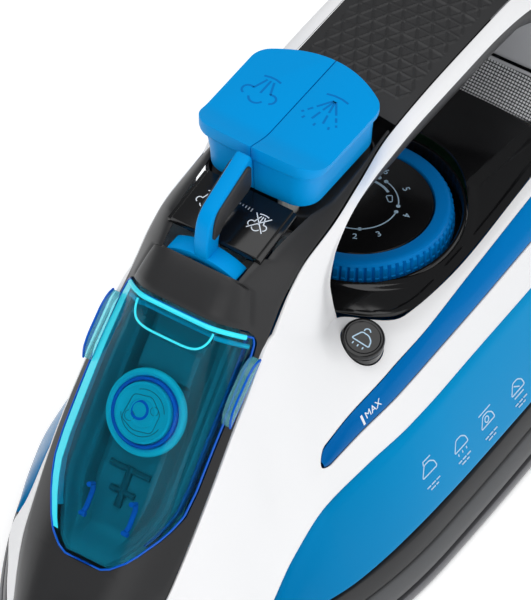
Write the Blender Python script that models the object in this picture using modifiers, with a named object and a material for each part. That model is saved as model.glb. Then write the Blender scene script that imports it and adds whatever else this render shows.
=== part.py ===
"""Steam clothes iron: every physical piece as its own closed body, laid out in millimetres.

Frame: nose towards -Y, the iron's left side towards +X, +Z up, soleplate underside at z = 0.
"""

import math

import bmesh
import bpy
import numpy as np
from mathutils import Vector

MM = 0.001

# Driving dimensions, millimetres
NOSE_Y = -140.0
WIDEST_Y = -10.0
HEEL_Y = 128.0
HALF_WIDTH = 59.5
SOLE_THICK = 4.0
CASTING_TOP = 15.5
SKIRT_SPLIT = 12.6
SKIRT_TOP = 19.8
WALL = 1.6
THIN_WALL = 1.0
GAP = 0.15
DIAL_Y = 32.0
DIAL_Z = 76.0
DIAL_TILT = math.radians(3.7)
DIAL_FACE_R = 21.6
DIAL_RING_R = 27.6
DIAL_RING_H = 8.5
WELL_R = 31.0
BUTTON_TOP = 141.4
BUTTON_LIP = 144.2
LIP_FROM_Y = -13.0
BUTTON_FOOT = 126.2
PLUNGER_Y = -16.9
LEVER_AXIS_Z = 100.0
DRUM_R = 22.4
LEVER_Y = (-47.0, -41.0)
CLEAN_POS = (29.6, -11.0, 73.2)
CLEAN_AXIS = (0.26, -0.2, 0.945)
CLEAN_R = 6.2
COVER_HINGE = (-104.9, 53.4)
NOZZLE_POS = (0, -118.5, 38.9)
NOZZLE_AXIS = (0, -0.78, 0.63)

# Side skin: columns nose to heel, rows from the skirt up to the top edge (x, y, z)
SIDE = np.array(
    [
        [(16.8, -118.5, 21.5), (16.8, -118.5, 21.6), (16.7, -118.5, 21.9), (16.6, -118.5, 22.2),
         (16.6, -118.5, 22.5), (16.5, -118.5, 22.8)],
        [(31.0, -98.0, 21.5), (30.9, -98.0, 21.9), (29.0, -98.0, 29.0), (27.2, -98.0, 35.0),
         (25.6, -98.0, 41.0), (24.2, -98.0, 47.5)],
        [(40.6, -80.0, 21.5), (40.0, -80.0, 23.0), (35.6, -80.0, 34.5), (32.2, -80.0, 45.0),
         (28.6, -80.0, 57.5), (25.2, -80.0, 70.5)],
        [(47.8, -62.0, 21.5), (40.2, -62.0, 37.0), (36.2, -62.0, 46.5), (32.6, -62.0, 57.0),
         (28.4, -62.0, 73.0), (24.5, -62.0, 90.5)],
        [(52.3, -46.0, 21.5), (40.9, -46.0, 45.0), (37.7, -46.0, 52.8), (35.6, -46.0, 56.8),
         (29.6, -46.0, 77.0), (23.7, -46.0, 104.0)],
        [(54.4, -28.0, 21.5), (42.7, -28.0, 46.6), (39.2, -28.0, 55.4), (36.7, -28.0, 60.6),
         (31.0, -28.0, 72.5), (25.6, -28.0, 88.0)],
        [(55.3, -10.0, 21.5), (45.2, -10.0, 48.2), (41.6, -10.0, 58.0), (38.7, -10.0, 64.2),
         (31.5, -10.0, 71.8), (20.6, -10.0, 77.0)],
        [(55.6, 8.0, 21.5), (46.0, 8.0, 49.5), (42.5, 8.0, 60.0), (39.2, 8.0, 66.6),
         (36.2, 8.0, 69.6), (32.6, 6.0, 70.8)],
        [(55.5, 32.0, 21.5), (46.0, 32.0, 50.2), (42.9, 32.0, 61.4), (38.3, 32.0, 68.5),
         (36.6, 32.0, 69.8), (34.8, 32.0, 70.2)],
        [(54.8, 64.0, 21.5), (45.8, 64.0, 50.4), (42.6, 64.0, 62.4), (37.2, 64.0, 70.0),
         (35.6, 64.0, 71.2), (33.8, 64.0, 71.6)],
        [(52.6, 93.0, 21.5), (44.0, 93.0, 50.0), (40.8, 93.0, 62.0), (36.2, 93.0, 70.6),
         (34.6, 93.0, 72.0), (33.0, 93.0, 73.0)],
        [(47.0, 126.0, 21.5), (41.5, 127.0, 49.5), (39.0, 127.5, 61.0), (35.6, 128.0, 69.0),
         (34.4, 128.2, 71.5), (33.2, 128.5, 74.0)],
    ]
)
COL_HEEL_FRONT = 10
ROW_TOP = 5
WINDOW_FROM = 4.2
WINDOW_TO = 10.5

# Edge between the white side skin and the dark centre skin, from the nose over the handle to the heel
RIM_A = np.array(
    [tuple(p) for p in SIDE[:5, ROW_TOP]]
    + [(23.3, -37.0, 113.0), (23.0, -29.0, 117.5), (22.6, -15.0, 119.8), (21.4, 0.0, 123.0),
       (19.8, 18.0, 126.2), (19.3, 45.0, 126.8), (19.3, 75.0, 126.4), (20.0, 99.0, 122.0),
       (22.0, 117.0, 112.0), (26.0, 127.0, 98.0), (30.5, 129.5, 84.0), (33.2, 128.5, 74.0)]
)
# Edge of the white skin round the hand opening, from the front foot over the top to the rear foot
RIM_B = np.array(
    [(20.6, -10.0, 77.0), (21.4, -13.5, 88.0), (22.3, -16.0, 99.0), (23.2, -15.4, 108.0),
     (23.9, -11.0, 116.4), (24.1, -3.0, 121.6), (24.0, 10.0, 124.2), (23.6, 30.0, 124.9),
     (23.6, 60.0, 124.8), (24.0, 82.0, 122.5), (26.0, 94.0, 114.0), (28.5, 98.0, 102.0),
     (31.0, 97.0, 88.0), (33.0, 93.0, 73.0)]
)
# Where a line across the rim meets each edge: parameter on RIM_A, parameter on RIM_B
RIM_PAIRS = np.array(
    [(4.0, 0.0), (5.3, 1.5), (6.4, 2.8), (7.2, 3.8), (8.0, 4.8), (8.8, 5.8), (9.6, 6.6),
     (10.4, 7.4), (11.2, 8.4), (12.0, 9.4), (12.8, 10.1), (13.6, 10.8), (14.5, 11.7), (15.4, 12.5),
     (16.0, 13.0)]
)
# Centre line (y, z) of the dark front skin, one point for each of the first ten points of RIM_A
SPINE = np.array(
    [(-132.0, 22.5), (-105.0, 53.2), (-86.9, 76.1), (-70.1, 97.0), (-57.6, 112.6), (-47.6, 121.2),
     (-36.5, 125.2), (-21.0, 127.6), (-2.0, 128.0), (18.0, 128.0)]
)


# ---------------------------------------------------------------- numbers and surfaces
def cubic(points, t):
    """Shape-keeping cubic through points at t = 0, 1, 2...; no overshoot between them."""
    pts = np.asarray(points, dtype=float)
    t = min(max(float(t), 0.0), len(pts) - 1.0)
    i = min(int(t), len(pts) - 2)
    f = t - i
    step = np.diff(pts, axis=0)
    def slope(k):
        if k == 0 or k == len(pts) - 1:
            return step[0] if k == 0 else step[-1]
        a, b = step[k - 1], step[k]
        total = a + b
        safe = np.where(np.abs(total) < 1e-12, 1.0, total)
        return np.where(a * b > 0, 2 * a * b / safe, 0.0)
    m0, m1 = slope(i), slope(i + 1)
    h00 = 2 * f**3 - 3 * f**2 + 1
    h10 = f**3 - 2 * f**2 + f
    h01 = -2 * f**3 + 3 * f**2
    h11 = f**3 - f**2
    return h00 * pts[i] + h10 * m0 + h01 * pts[i + 1] + h11 * m1


def side_point(u, v):
    """Point of the side skin at column u and row v."""
    rows = [cubic(SIDE[:, r], u) for r in range(SIDE.shape[1])]
    return cubic(rows, v)


def side_gap_row(u, v0, v1, amount):
    """Row amount millimetres from v0 towards v1 at column u."""
    length = np.linalg.norm(side_point(u, v1) - side_point(u, v0))
    return v0 + (v1 - v0) * min(0.5, amount / max(length, 1e-6))


def plan_half(y):
    """Half-width of the soleplate's outline at y."""
    if y <= WIDEST_Y:
        s = max(0.0, (y - NOSE_Y) / (WIDEST_Y - NOSE_Y))
        return HALF_WIDTH * (1.0 - (1.0 - s) ** 2.1) ** 0.93
    s = (y - WIDEST_Y) / (HEEL_Y - WIDEST_Y)
    return HALF_WIDTH - 8.0 * s**2.4


def plan_loop(inset, shorter=0.0, count=10, corner=14.0):
    """Closed outline inset from the soleplate's edge and cut shorter at the heel, anticlockwise from above."""
    start = NOSE_Y + inset * 1.9
    rear_y = HEEL_Y - inset - shorter
    ys = [start + (WIDEST_Y - start) * (k / count) ** 1.5 for k in range(count)]
    ys += [WIDEST_Y + (rear_y - corner - WIDEST_Y) * k / 3 for k in range(4)]
    right = []
    for y in ys:
        wide = plan_half(y) - inset
        right.append((max(wide, 0.0) if y > start + 0.1 else 0.0, y))
    edge = right[-1][0]
    for k in range(1, 4):
        a = math.radians(30 * k)
        right.append((edge - corner * (1 - math.cos(a)), rear_y - corner + corner * math.sin(a)))
    left = [(-x, y) for x, y in reversed(right) if x > 0.001]
    return right + left


def front_fall(q):
    """How far the front skin has fallen from the spine to its edge, 0 at the centre, 1 at the edge."""
    side = max(0.0, (q - 0.42) / 0.58)
    return 0.05 * q * q + 0.95 * side**1.55


def front_point(s, x):
    """Point of the dark front skin at section s, x millimetres from the centre plane."""
    centre = cubic(SPINE, s)
    edge = cubic(RIM_A, s)
    f = front_fall(min(1.0, abs(x) / edge[0]))
    y, z = centre + (edge[1:] - centre) * f
    return np.array([x, y, z])


# ---------------------------------------------------------------- materials and objects
def material(name, colour, roughness, metallic=0.0):
    mat = bpy.data.materials.new(name)
    mat.use_nodes = True
    bsdf = mat.node_tree.nodes["Principled BSDF"]
    bsdf.inputs["Base Color"].default_value = (*colour, 1.0)
    bsdf.inputs["Roughness"].default_value = roughness
    bsdf.inputs["Metallic"].default_value = metallic
    mat.diffuse_color = (*colour, 1.0)
    return mat


def new_object(name, mesh, collection, colour=None, roughness=0.4, metallic=0.0, smooth=True):
    obj = bpy.data.objects.new(name, mesh)
    collection.objects.link(obj)
    if colour is not None:
        mesh.materials.append(material(name, colour, roughness, metallic))
    if smooth:
        for poly in mesh.polygons:
            poly.use_smooth = True
    return obj


def mesh_from(name, verts, faces, origin=(0.0, 0.0, 0.0)):
    mesh = bpy.data.meshes.new(name)
    base = Vector(origin)
    mesh.from_pydata([(Vector(v) - base) * MM for v in verts], [], faces)
    mesh.update()
    return mesh


def face_outwards(obj):
    bm = bmesh.new()
    bm.from_mesh(obj.data)
    bmesh.ops.remove_doubles(bm, verts=bm.verts, dist=1e-6)
    bmesh.ops.recalc_face_normals(bm, faces=bm.faces)
    bm.to_mesh(obj.data)
    bm.free()


def apply_modifiers(obj):
    depsgraph = bpy.context.evaluated_depsgraph_get()
    depsgraph.update()
    mesh = bpy.data.meshes.new_from_object(obj.evaluated_get(depsgraph))
    obj.modifiers.clear()
    obj.data = mesh


def grid_skin(name, grid, keep, style, collection, thickness=WALL, origin=(0, 0, 0), inward=None):
    """Skin over a grid of points, given thickness on its inner side. inward is a point inside."""
    verts, faces = [], []
    rows, cols = len(grid), len(grid[0])
    index = {}
    def vert(p):
        key = tuple(round(float(c), 4) for c in p)
        if key not in index:
            index[key] = len(verts)
            verts.append(tuple(float(c) for c in p))
        return index[key]
    for i in range(rows - 1):
        for j in range(cols - 1):
            if keep is None or keep(i, j):
                corners = (grid[i][j], grid[i + 1][j], grid[i + 1][j + 1], grid[i][j + 1])
                quad = [vert(p) for p in corners]
                quad = [q for k, q in enumerate(quad) if q not in quad[:k]]
                if len(quad) > 2:
                    faces.append(quad)
    return skin_object(name, verts, faces, style, collection, thickness, origin, inward)


def skin_object(name, verts, faces, style, collection, thickness, origin, inward):
    used = sorted({i for f in faces for i in f})
    remap = {old: new for new, old in enumerate(used)}
    verts = [verts[i] for i in used]
    faces = [[remap[i] for i in f] for f in faces]
    mesh = mesh_from(name, verts, faces, origin)
    bm = bmesh.new()
    bm.from_mesh(mesh)
    bmesh.ops.remove_doubles(bm, verts=bm.verts, dist=1e-6)
    bmesh.ops.recalc_face_normals(bm, faces=bm.faces)
    inside = (Vector(inward) - Vector(origin)) * MM
    vote = 0.0
    for face in bm.faces:
        vote += (face.calc_center_median() - inside).dot(face.normal) * face.calc_area()
    if vote < 0:
        bmesh.ops.reverse_faces(bm, faces=bm.faces)
    bm.to_mesh(mesh)
    bm.free()
    obj = new_object(name, mesh, collection, *style)
    obj.location = Vector(origin) * MM
    solid = obj.modifiers.new("wall", "SOLIDIFY")
    solid.thickness = thickness * MM
    solid.offset = -1.0
    solid.use_even_offset = True
    return obj


def loft(name, loops, style, collection, origin=(0, 0, 0)):
    """Closed body through loops of equal length, with flat ends."""
    count = len(loops[0])
    verts = [p for loop in loops for p in loop]
    faces = []
    for i in range(len(loops) - 1):
        for j in range(count):
            k = (j + 1) % count
            faces.append([i * count + j, i * count + k, (i + 1) * count + k, (i + 1) * count + j])
    faces.append(list(range(count))[::-1])
    faces.append([(len(loops) - 1) * count + j for j in range(count)])
    obj = new_object(name, mesh_from(name, verts, faces, origin), collection, *style)
    obj.location = Vector(origin) * MM
    face_outwards(obj)
    return obj


def slab(name, outline, z0, z1, style, collection, origin=(0, 0, 0)):
    """Flat-topped body over a plan outline."""
    loops = [[(x, y, z) for x, y in outline] for z in (z0, z1)]
    return loft(name, loops, style, collection, origin)


def side_slab(name, outline, x0, x1, style, collection, origin=(0, 0, 0)):
    """Body made from a (y, z) outline run across the iron from x0 to x1."""
    loops = [[(x, y, z) for y, z in outline] for x in (x0, x1)]
    return loft(name, loops, style, collection, origin)


def turned(name, profile, centre, style, collection, axis=(0, 0, 1), steps=24, lobes=None):
    """Body of revolution: profile of (radius, height) pairs from the bottom centre to the top centre."""
    turn = Vector((0, 0, 1)).rotation_difference(Vector(axis).normalized()).to_matrix()
    verts, faces, rings = [], [], []
    for radius, height in profile:
        if radius < 1e-6:
            rings.append([len(verts)])
            verts.append(turn @ Vector((0, 0, height)))
            continue
        ring = []
        for k in range(steps):
            a = 2 * math.pi * k / steps
            r = radius + (lobes(a, radius, height) if lobes else 0.0)
            ring.append(len(verts))
            verts.append(turn @ Vector((r * math.cos(a), r * math.sin(a), height)))
        rings.append(ring)
    for low, high in zip(rings, rings[1:]):
        for k in range(steps):
            n = (k + 1) % steps
            quad = [low[k % len(low)], low[n % len(low)], high[n % len(high)], high[k % len(high)]]
            quad = [q for m, q in enumerate(quad) if q not in quad[:m]]
            faces.append(quad)
    if len(rings[0]) > 1 and profile[0] != profile[-1]:
        faces.append(rings[0][::-1])
        faces.append(rings[-1])
    mesh = mesh_from(name, verts, faces)
    obj = new_object(name, mesh, collection, *style)
    obj.location = Vector(centre) * MM
    face_outwards(obj)
    return obj


def box(name, low, high, style, collection, bevel=0.0):
    outline = [(low[0], low[1]), (high[0], low[1]), (high[0], high[1]), (low[0], high[1])]
    centre = [(a + b) / 2 for a, b in zip(low, high)]
    obj = slab(name, outline, low[2], high[2], style, collection, centre)
    if bevel:
        mod = obj.modifiers.new("edges", "BEVEL")
        mod.width = bevel * MM
        mod.segments = 1
    return obj


def pipe(name, points, radius, style, collection, resolution=2):
    curve = bpy.data.curves.new(name, "CURVE")
    curve.dimensions = "3D"
    curve.bevel_depth = radius * MM
    curve.bevel_resolution = resolution
    curve.use_fill_caps = True
    line = curve.splines.new("POLY")
    line.points.add(len(points) - 1)
    for slot, point in zip(line.points, points):
        slot.co = (point[0] * MM, point[1] * MM, point[2] * MM, 1.0)
    temp = bpy.data.objects.new(name + "_path", curve)
    collection.objects.link(temp)
    depsgraph = bpy.context.evaluated_depsgraph_get()
    mesh = bpy.data.meshes.new_from_object(temp.evaluated_get(depsgraph))
    bpy.data.objects.remove(temp)
    mesh.materials.clear()
    obj = new_object(name, mesh, collection, *style)
    face_outwards(obj)
    return obj


def cut(obj, cutters, cutter_collection):
    """Take cutters away from obj; each cutter stays in the file, out of the render."""
    for cutter in cutters:
        for home in list(cutter.users_collection):
            home.objects.unlink(cutter)
        cutter_collection.objects.link(cutter)
        cutter.hide_render = True
        cutter.display_type = "WIRE"
        mod = obj.modifiers.new("cut", "BOOLEAN")
        mod.operation = "DIFFERENCE"
        mod.solver = "EXACT"
        mod.object = cutter


# ---------------------------------------------------------------- colours: (colour, roughness, metallic)
WHITE = ((0.82, 0.82, 0.83), 0.25)
BLUE = ((0.0, 0.13, 0.42), 0.2)
BRIGHT_BLUE = ((0.0, 0.28, 0.72), 0.35)
TEAL = ((0.02, 0.35, 0.45), 0.08)
DARK = ((0.045, 0.045, 0.048), 0.45)
GLOSS_BLACK = ((0.01, 0.01, 0.011), 0.12)
BAND = ((0.075, 0.075, 0.08), 0.5)
RUBBER = ((0.03, 0.03, 0.032), 0.7)
CERAMIC = ((0.10, 0.10, 0.105), 0.3)
ALUMINIUM = ((0.55, 0.56, 0.57), 0.45, 0.9)
STEEL = ((0.5, 0.5, 0.5), 0.35, 1.0)
BRASS = ((0.6, 0.45, 0.2), 0.35, 1.0)
SILVER = ((0.5, 0.5, 0.51), 0.4)
CLEAR = ((0.6, 0.62, 0.64), 0.1)
TANK = ((0.15, 0.4, 0.6), 0.15)
CYAN = ((0.0, 0.5, 0.62), 0.2)
BOARD = ((0.03, 0.2, 0.1), 0.5)
CREAM = ((0.75, 0.73, 0.68), 0.5)
AMBER = ((0.8, 0.2, 0.1), 0.2)


# ---------------------------------------------------------------- base of the iron
def build_base(parts, cutters):
    sole = slab("soleplate", plan_loop(0.0), 0.0, SOLE_THICK, CERAMIC, parts)
    vents = []
    for k, (x, y) in enumerate(
        [(0, -112), (14, -92), (-14, -92), (24, -66), (-24, -66), (31, -38), (-31, -38), (36, -8),
         (-36, -8), (37, 24), (-37, 24)]
    ):
        vents.append(turned(f"vent_{k}", [(0, -1), (1.8, -1), (1.8, 6), (0, 6)], (x, y, 0), WHITE, parts,
                            steps=8))
    cut(sole, vents, cutters)
    slab("heater_casting", plan_loop(7.0, shorter=5.0), SOLE_THICK + 0.3, CASTING_TOP,
         ALUMINIUM, parts)
    pipe("heating_element",
         [(16, 104, 24), (16, 104, 19.4), (22, 80, 19.4), (29, 20, 19.4), (25, -30, 19.4), (14, -66, 19.4),
          (0, -80, 19.4), (-14, -66, 19.4), (-25, -30, 19.4), (-29, 20, 19.4), (-22, 80, 19.4),
          (-16, 104, 19.4), (-16, 104, 24)], 3.0, STEEL, parts, 1)
    skirt_band("skirt_lower", 0.4, 1.7, SOLE_THICK + 1.5, SKIRT_SPLIT, BAND, parts)
    skirt_band("skirt_upper", 2.2, 3.4, SKIRT_SPLIT + 0.3, SKIRT_TOP, DARK, parts)


def skirt_band(name, inset_low, inset_high, z0, z1, style, parts):
    """Heat-shield band round the base: outer loop up, inner loop down, closed into a ring."""
    loops = []
    for inset, z in ((inset_low, z0), (inset_high, z1), (inset_high + 2.4, z1), (inset_low + 3.6, z0)):
        loops.append([(x, y, z) for x, y in plan_loop(inset)])
    count = len(loops[0])
    verts = [p for loop in loops for p in loop]
    faces = []
    for i in range(4):
        for j in range(count):
            k, n = (j + 1) % count, (i + 1) % 4
            faces.append([i * count + j, i * count + k, n * count + k, n * count + j])
    obj = new_object(name, mesh_from(name, verts, faces), parts, *style)
    face_outwards(obj)
    return obj


# ---------------------------------------------------------------- skins of the body
def side_columns(step=0.5):
    cols = [k * step for k in range(int(COL_HEEL_FRONT / step) + 1)]
    cols[cols.index(4.5)] = WINDOW_FROM
    return cols + [COL_HEEL_FRONT + k / 4 for k in range(1, 5)]


def mirrored(points, sign):
    return [(p[0] * sign, p[1], p[2]) for p in points]


def build_side(sign, label, parts):
    cols = side_columns()
    # White shell: side skin with the window left open, and the rim round the hand opening
    rows_low = [1.0, 1.5, 2.0]
    rows_high = [3.0, 3.5, 4.0, 4.5, 5.0]
    grid = []
    for u in cols:
        line = [side_point(u, v) for v in rows_low[:-1]]
        open_here = WINDOW_FROM <= u <= WINDOW_TO
        shrink = GAP if open_here else 0.0
        line.append(side_point(u, side_gap_row(u, 2.0, 1.0, shrink)))
        line.append(side_point(u, side_gap_row(u, 3.0, 4.0, shrink)))
        line += [side_point(u, v) for v in rows_high[1:]]
        grid.append(line)
    verts, faces, index = [], [], {}
    def vert(p):
        key = tuple(round(float(c), 4) for c in p)
        if key not in index:
            index[key] = len(verts)
            verts.append((p[0] * sign, p[1], p[2]))
        return index[key]
    def quad(a, b, c, d):
        ids = [vert(a), vert(b), vert(c), vert(d)]
        ids = [q for k, q in enumerate(ids) if q not in ids[:k]]
        if len(ids) > 2:
            faces.append(ids)
    for i in range(len(cols) - 1):
        middle = (cols[i] + cols[i + 1]) / 2
        for j in range(len(grid[0]) - 1):
            if j == 2 and WINDOW_FROM < middle < WINDOW_TO:
                continue
            quad(grid[i][j], grid[i + 1][j], grid[i + 1][j + 1], grid[i][j + 1])
    rim = rim_grid([side_point(u, 5.0) for u in (4.0, WINDOW_FROM, 5.0, 5.5, 6.0)],
                   [side_point(u, 5.0) for u in (11.0, 10.75, 10.5, 10.25, 10.0)], 14)
    for i in range(len(rim) - 1):
        for j in range(4):
            quad(rim[i][j], rim[i + 1][j], rim[i + 1][j + 1], rim[i][j + 1])
    skin_object(f"side_shell_{label}", verts, faces, WHITE, parts, WALL, (0, 0, 0), (0, 0, 60))

    # Blue lower panel below the white shell
    blue = []
    for u in [2.1] + [c for c in cols if c > 2.1]:
        top = side_gap_row(u, 1.0, 0.0, 2 * GAP)
        blue.append(mirrored([side_point(u, top * k / 4) for k in range(5)], sign))
    grid_skin(f"side_panel_{label}", blue, None, BLUE, parts, WALL, (0, 0, 0), (0, 0, 60))

    # Long level window set into the white shell
    window = []
    inner = [c for c in cols if WINDOW_FROM < c < WINDOW_TO]
    for u in [WINDOW_FROM + 0.04] + inner + [WINDOW_TO - 0.02]:
        low, high = side_gap_row(u, 2.0, 3.0, 0.35), side_gap_row(u, 3.0, 2.0, 0.35)
        window.append(mirrored([side_point(u, low + (high - low) * k / 2) for k in range(3)], sign))
    grid_skin(f"level_window_{label}", window, None, BLUE, parts, THIN_WALL, (0, 0, 0), (0, 0, 60))


def rim_grid(front_seam, rear_seam, steps):
    """Grid across the rim from RIM_A to RIM_B, ending exactly on the two seams."""
    count = len(front_seam)
    grid = []
    for i in range(steps + 1):
        s = i / steps * (len(RIM_PAIRS) - 1)
        pa, pb = cubic(RIM_PAIRS, s)
        a, b = cubic(RIM_A, pa), cubic(RIM_B, pb)
        row = []
        for j in range(count):
            t = j / (count - 1)
            bulge = 4 * t * (1 - t) * 0.10 * np.linalg.norm(b - a)
            row.append(a + (b - a) * t + np.array([bulge * 0.6, 0.0, bulge * 0.4]))
        grid.append(row)
    for seam, end, reach in ((front_seam, 0, 4), (rear_seam, steps, 4)):
        shifts = [np.asarray(seam[j]) - grid[end][j] for j in range(count)]
        for k in range(reach):
            i = end + k if end == 0 else end - k
            for j in range(count):
                grid[i][j] = grid[i][j] + shifts[j] * (1 - k / reach) ** 2
    return grid


COVER_EDGE = [(1.0, 9.0), (1.2, 14.5), (1.4, 18.0), (1.7, 21.2), (2.0, 22.2), (3.0, 22.2), (3.9, 21.0)]


def cover_half(s):
    """Half-width of the filler cover at section s of the front skin."""
    xs = [p[0] for p in COVER_EDGE]
    return float(np.interp(s, xs, [p[1] for p in COVER_EDGE]))


def panel_half(s):
    """Half-width of the opening for the controls at section s."""
    return float(np.interp(s, [5.0, 6.0, 7.0, 7.4, 8.3, 9.0], [15.5, 15.6, 17.2, 18.8, 18.8, 18.4]))


def build_front(parts, cutters):
    stations = [0.0, 0.35, 0.7, 0.97, 1.2, 1.4, 1.7, 2.0, 2.5, 3.0, 3.5, 3.97, 4.3, 4.55, 4.8, 5.5, 6.0,
                6.5, 7.0, 7.4, 8.0, 8.5, 9.0]
    grid = []
    for s in stations:
        edge = cubic(RIM_A, s)[0] - float(np.interp(s, [3.0, 3.7, 4.5, 5.5], [0.8, 1.35, 1.35, 0.8]))
        if s < 4.5:
            inner = min(cover_half(s) + 2 * GAP, edge - 0.8)
        else:
            inner = panel_half(s) + GAP
        xs = [edge, (edge + inner) / 2, inner, inner * 0.66, inner * 0.33, 0.0]
        xs += [-x for x in reversed(xs[:-1])]
        grid.append([front_point(s, x) for x in xs])
    def keep(i, j):
        middle = (stations[i] + stations[i + 1]) / 2
        centre = 2 <= j <= 7
        return not (centre and (0.97 < middle < 3.97 or middle > 4.8))
    grid_skin("front_trim", grid, keep, DARK, parts, THIN_WALL, (0, 0, 0), (0, 0, 60))

    cover = []
    for s in [1.0, 1.2, 1.4, 1.7, 2.0, 2.4, 2.8, 3.2, 3.6, 3.88]:
        half = cover_half(s)
        cover.append([front_point(s, half * k) for k in (-1, -0.85, -0.65, -0.4, 0, 0.4, 0.65, 0.85, 1)])
    hinge = (0, COVER_HINGE[0], COVER_HINGE[1])
    lid = grid_skin("filler_cover", cover, None, TEAL, parts, 1.5, hinge, (0, 0, 60))
    apply_modifiers(lid)
    lugs = []
    for sign in (1, -1):
        outline = []
        for s, lift in ((2.75, 0.7), (3.0, 0.7), (3.3, 0.7), (3.56, 0.7), (3.52, 3.4), (3.3, 4.2),
                        (3.0, 4.2), (2.85, 3.2)):
            p = front_point(s, 21.4)
            outline.append((p[1] - 0.78 * lift, p[2] + 0.62 * lift))
        inner, outer = (20.6, 25.0) if sign > 0 else (-25.0, -20.6)
        lugs.append(side_slab(f"lug_{sign}", outline, inner, outer, TEAL, parts, hinge))
    join(lid, lugs)

    # Tray below the cover
    tray = []
    for s in (1.12, 1.4, 1.8, 2.4, 3.0, 3.6, 3.9):
        half = min(cover_half(s), 21.0)
        row = []
        for k in (-0.9, -0.6, 0, 0.6, 0.9):
            p = front_point(s, half * k)
            row.append(p + np.array([0, 0.78, -0.62]) * (9.5 if abs(k) < 0.7 else 4.5))
        tray.append(row)
    tray_obj = grid_skin("filler_tray", tray, None, GLOSS_BLACK, parts, 1.6, (0, 0, 0), (0, 0, 40))
    return tray_obj


def build_top(parts):
    # Grip pad over the handle, running down behind to the back cover
    pad = []
    for k in range(15):
        s = 9.14 + (12.72 - 9.14) * k / 14
        edge = cubic(RIM_A, s)
        tangent = cubic(RIM_A, min(s + 0.1, 16.0)) - cubic(RIM_A, s - 0.1)
        up = np.array([0.0, -tangent[2], tangent[1]])
        up /= np.linalg.norm(up)
        row = []
        for q in (-1, -0.66, -0.33, 0, 0.33, 0.66, 1):
            row.append(np.array([(edge[0] - 5.5 * GAP) * q, edge[1], edge[2]]) + up * 1.7 * (1 - q * q))
        pad.append(row)
    grid_skin("grip_pad", pad, None, RUBBER, parts, THIN_WALL, (0, 0, 0), (0, 55, 100))

    # Dark liner: rear of the front post and the underside of the handle
    liner = []
    for k in range(17):
        s = 0.3 + (9.9 - 0.3) * k / 16
        edge = cubic(RIM_B, s)
        tangent = cubic(RIM_B, s + 0.1) - cubic(RIM_B, s - 0.1)
        out = np.array([0.0, tangent[2], -tangent[1]])
        out /= np.linalg.norm(out)
        depth = float(np.interp(s, [0, 2, 3.5, 5, 6.5, 8, 9, 10], [4, 7, 9, 13, 19, 20, 17, 10]))
        start = float(np.interp(s, [0, 3, 4.5, 8.5, 10], [-0.4, 0.0, 2.3, 2.3, 1.0]))
        row = []
        for k2 in range(9):
            a = math.pi * k2 / 8
            x = -math.cos(a) * (edge[0] - 2.6)
            row.append(np.array([x, edge[1], edge[2]]) + out * (depth * math.sin(a) ** 0.8 + start))
        liner.append(row)
    grid_skin("handle_liner", liner, None, DARK, parts, WALL, (0, 0, 0), (0, 40, 150))


def build_rear(parts):
    # Pale panel facing the hand opening, and the lens strip below it
    panel = []
    for k in range(6):
        s = 10.05 + (12.3 - 10.05) * k / 5
        edge = cubic(RIM_B, s)
        panel.append([np.array([(edge[0] - 2.8) * q, edge[1] - 1.2 * (1 - q * q), edge[2]])
                      for q in (-1, -0.5, 0, 0.5, 1)])
    grid_skin("rear_panel", panel, None, SILVER, parts, WALL, (0, 0, 0), (0, 130, 90))
    strip = []
    for y, z, half in ((94.4, 82.6, 28.6), (90.5, 79.6, 29.0), (86.0, 76.6, 29.4), (84.4, 75.6, 29.6)):
        strip.append([np.array([half * q, y - 0.8 * (1 - q * q), z + 0.6 * (1 - q * q)])
                      for q in (-1, -0.5, 0, 0.5, 1)])
    grid_skin("indicator_lens", strip, None, CLEAR, parts, 1.6, (0, 0, 0), (0, 120, 60))

    # Back cover: from the grip pad down to the skirt
    edges = [cubic(RIM_A, s) for s in (12.81, 13.2, 13.7, 14.2, 14.8, 15.4, 15.9)]
    edges += [side_point(11.0, v) for v in (4.2, 3.0, 2.0, 1.0, 0.5, 0.05)]
    back = []
    for k, edge in enumerate(edges):
        bulge = float(np.interp(edge[2], [22, 32, 50, 80, 105, 116], [0.6, 6.0, 9.5, 7.5, 5.0, 2.2]))
        row = []
        for q in (-1, -0.8, -0.5, 0, 0.5, 0.8, 1):
            row.append(np.array([(edge[0] - 2.4) * q, edge[1] + 0.4 + bulge * (1 - q**4), edge[2]]))
        back.append(row)
    grid_skin("back_cover", back, None, DARK, parts, WALL, (0, 0, 0), (0, 60, 70))


def build_saddle(parts, cutters):
    rows = []
    stations = [(-7.8, 16.5, 76.6, 75.6), (-4.6, 21.0, 76.3, 74.0), (0.0, 27.0, 76.2, 72.4),
                (6.0, 31.8, 76.0, 71.2), (16.0, 34.0, 75.8, 70.6), (32.0, 34.3, 75.6, 70.3),
                (50.0, 33.9, 75.6, 70.7), (66.0, 33.3, 75.7, 71.4), (83.6, 32.6, 76.0, 72.6)]
    for y, half, crown, edge in stations:
        row = []
        for q in (-1, -0.86, -0.7, -0.35, 0, 0.35, 0.7, 0.86, 1):
            row.append((half * q, y, edge + (crown - edge) * (1 - max(0.0, (abs(q) - 0.3) / 0.7) ** 2)))
        rows.append(row)
    saddle = grid_skin("saddle", rows, None, GLOSS_BLACK, parts, WALL, (0, 0, 0), (0, 40, 40))
    hole = turned("well_cut", [(0, -30), (WELL_R, -30), (WELL_R, 30), (0, 30)],
                  (0, DIAL_Y, 70), WHITE, parts, steps=40)
    cut(saddle, [hole], cutters)
    r = WELL_R - 0.4
    turned("dial_seat", [(4.2, 62.6), (r - 1.8, 62.6), (r, 64.0), (r, 69.4), (r - 1.6, 69.4),
                         (r - 1.8, 64.6), (4.2, 64.6), (4.2, 62.6)], (0, DIAL_Y, 0), GLOSS_BLACK, parts,
           steps=40)


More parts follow.
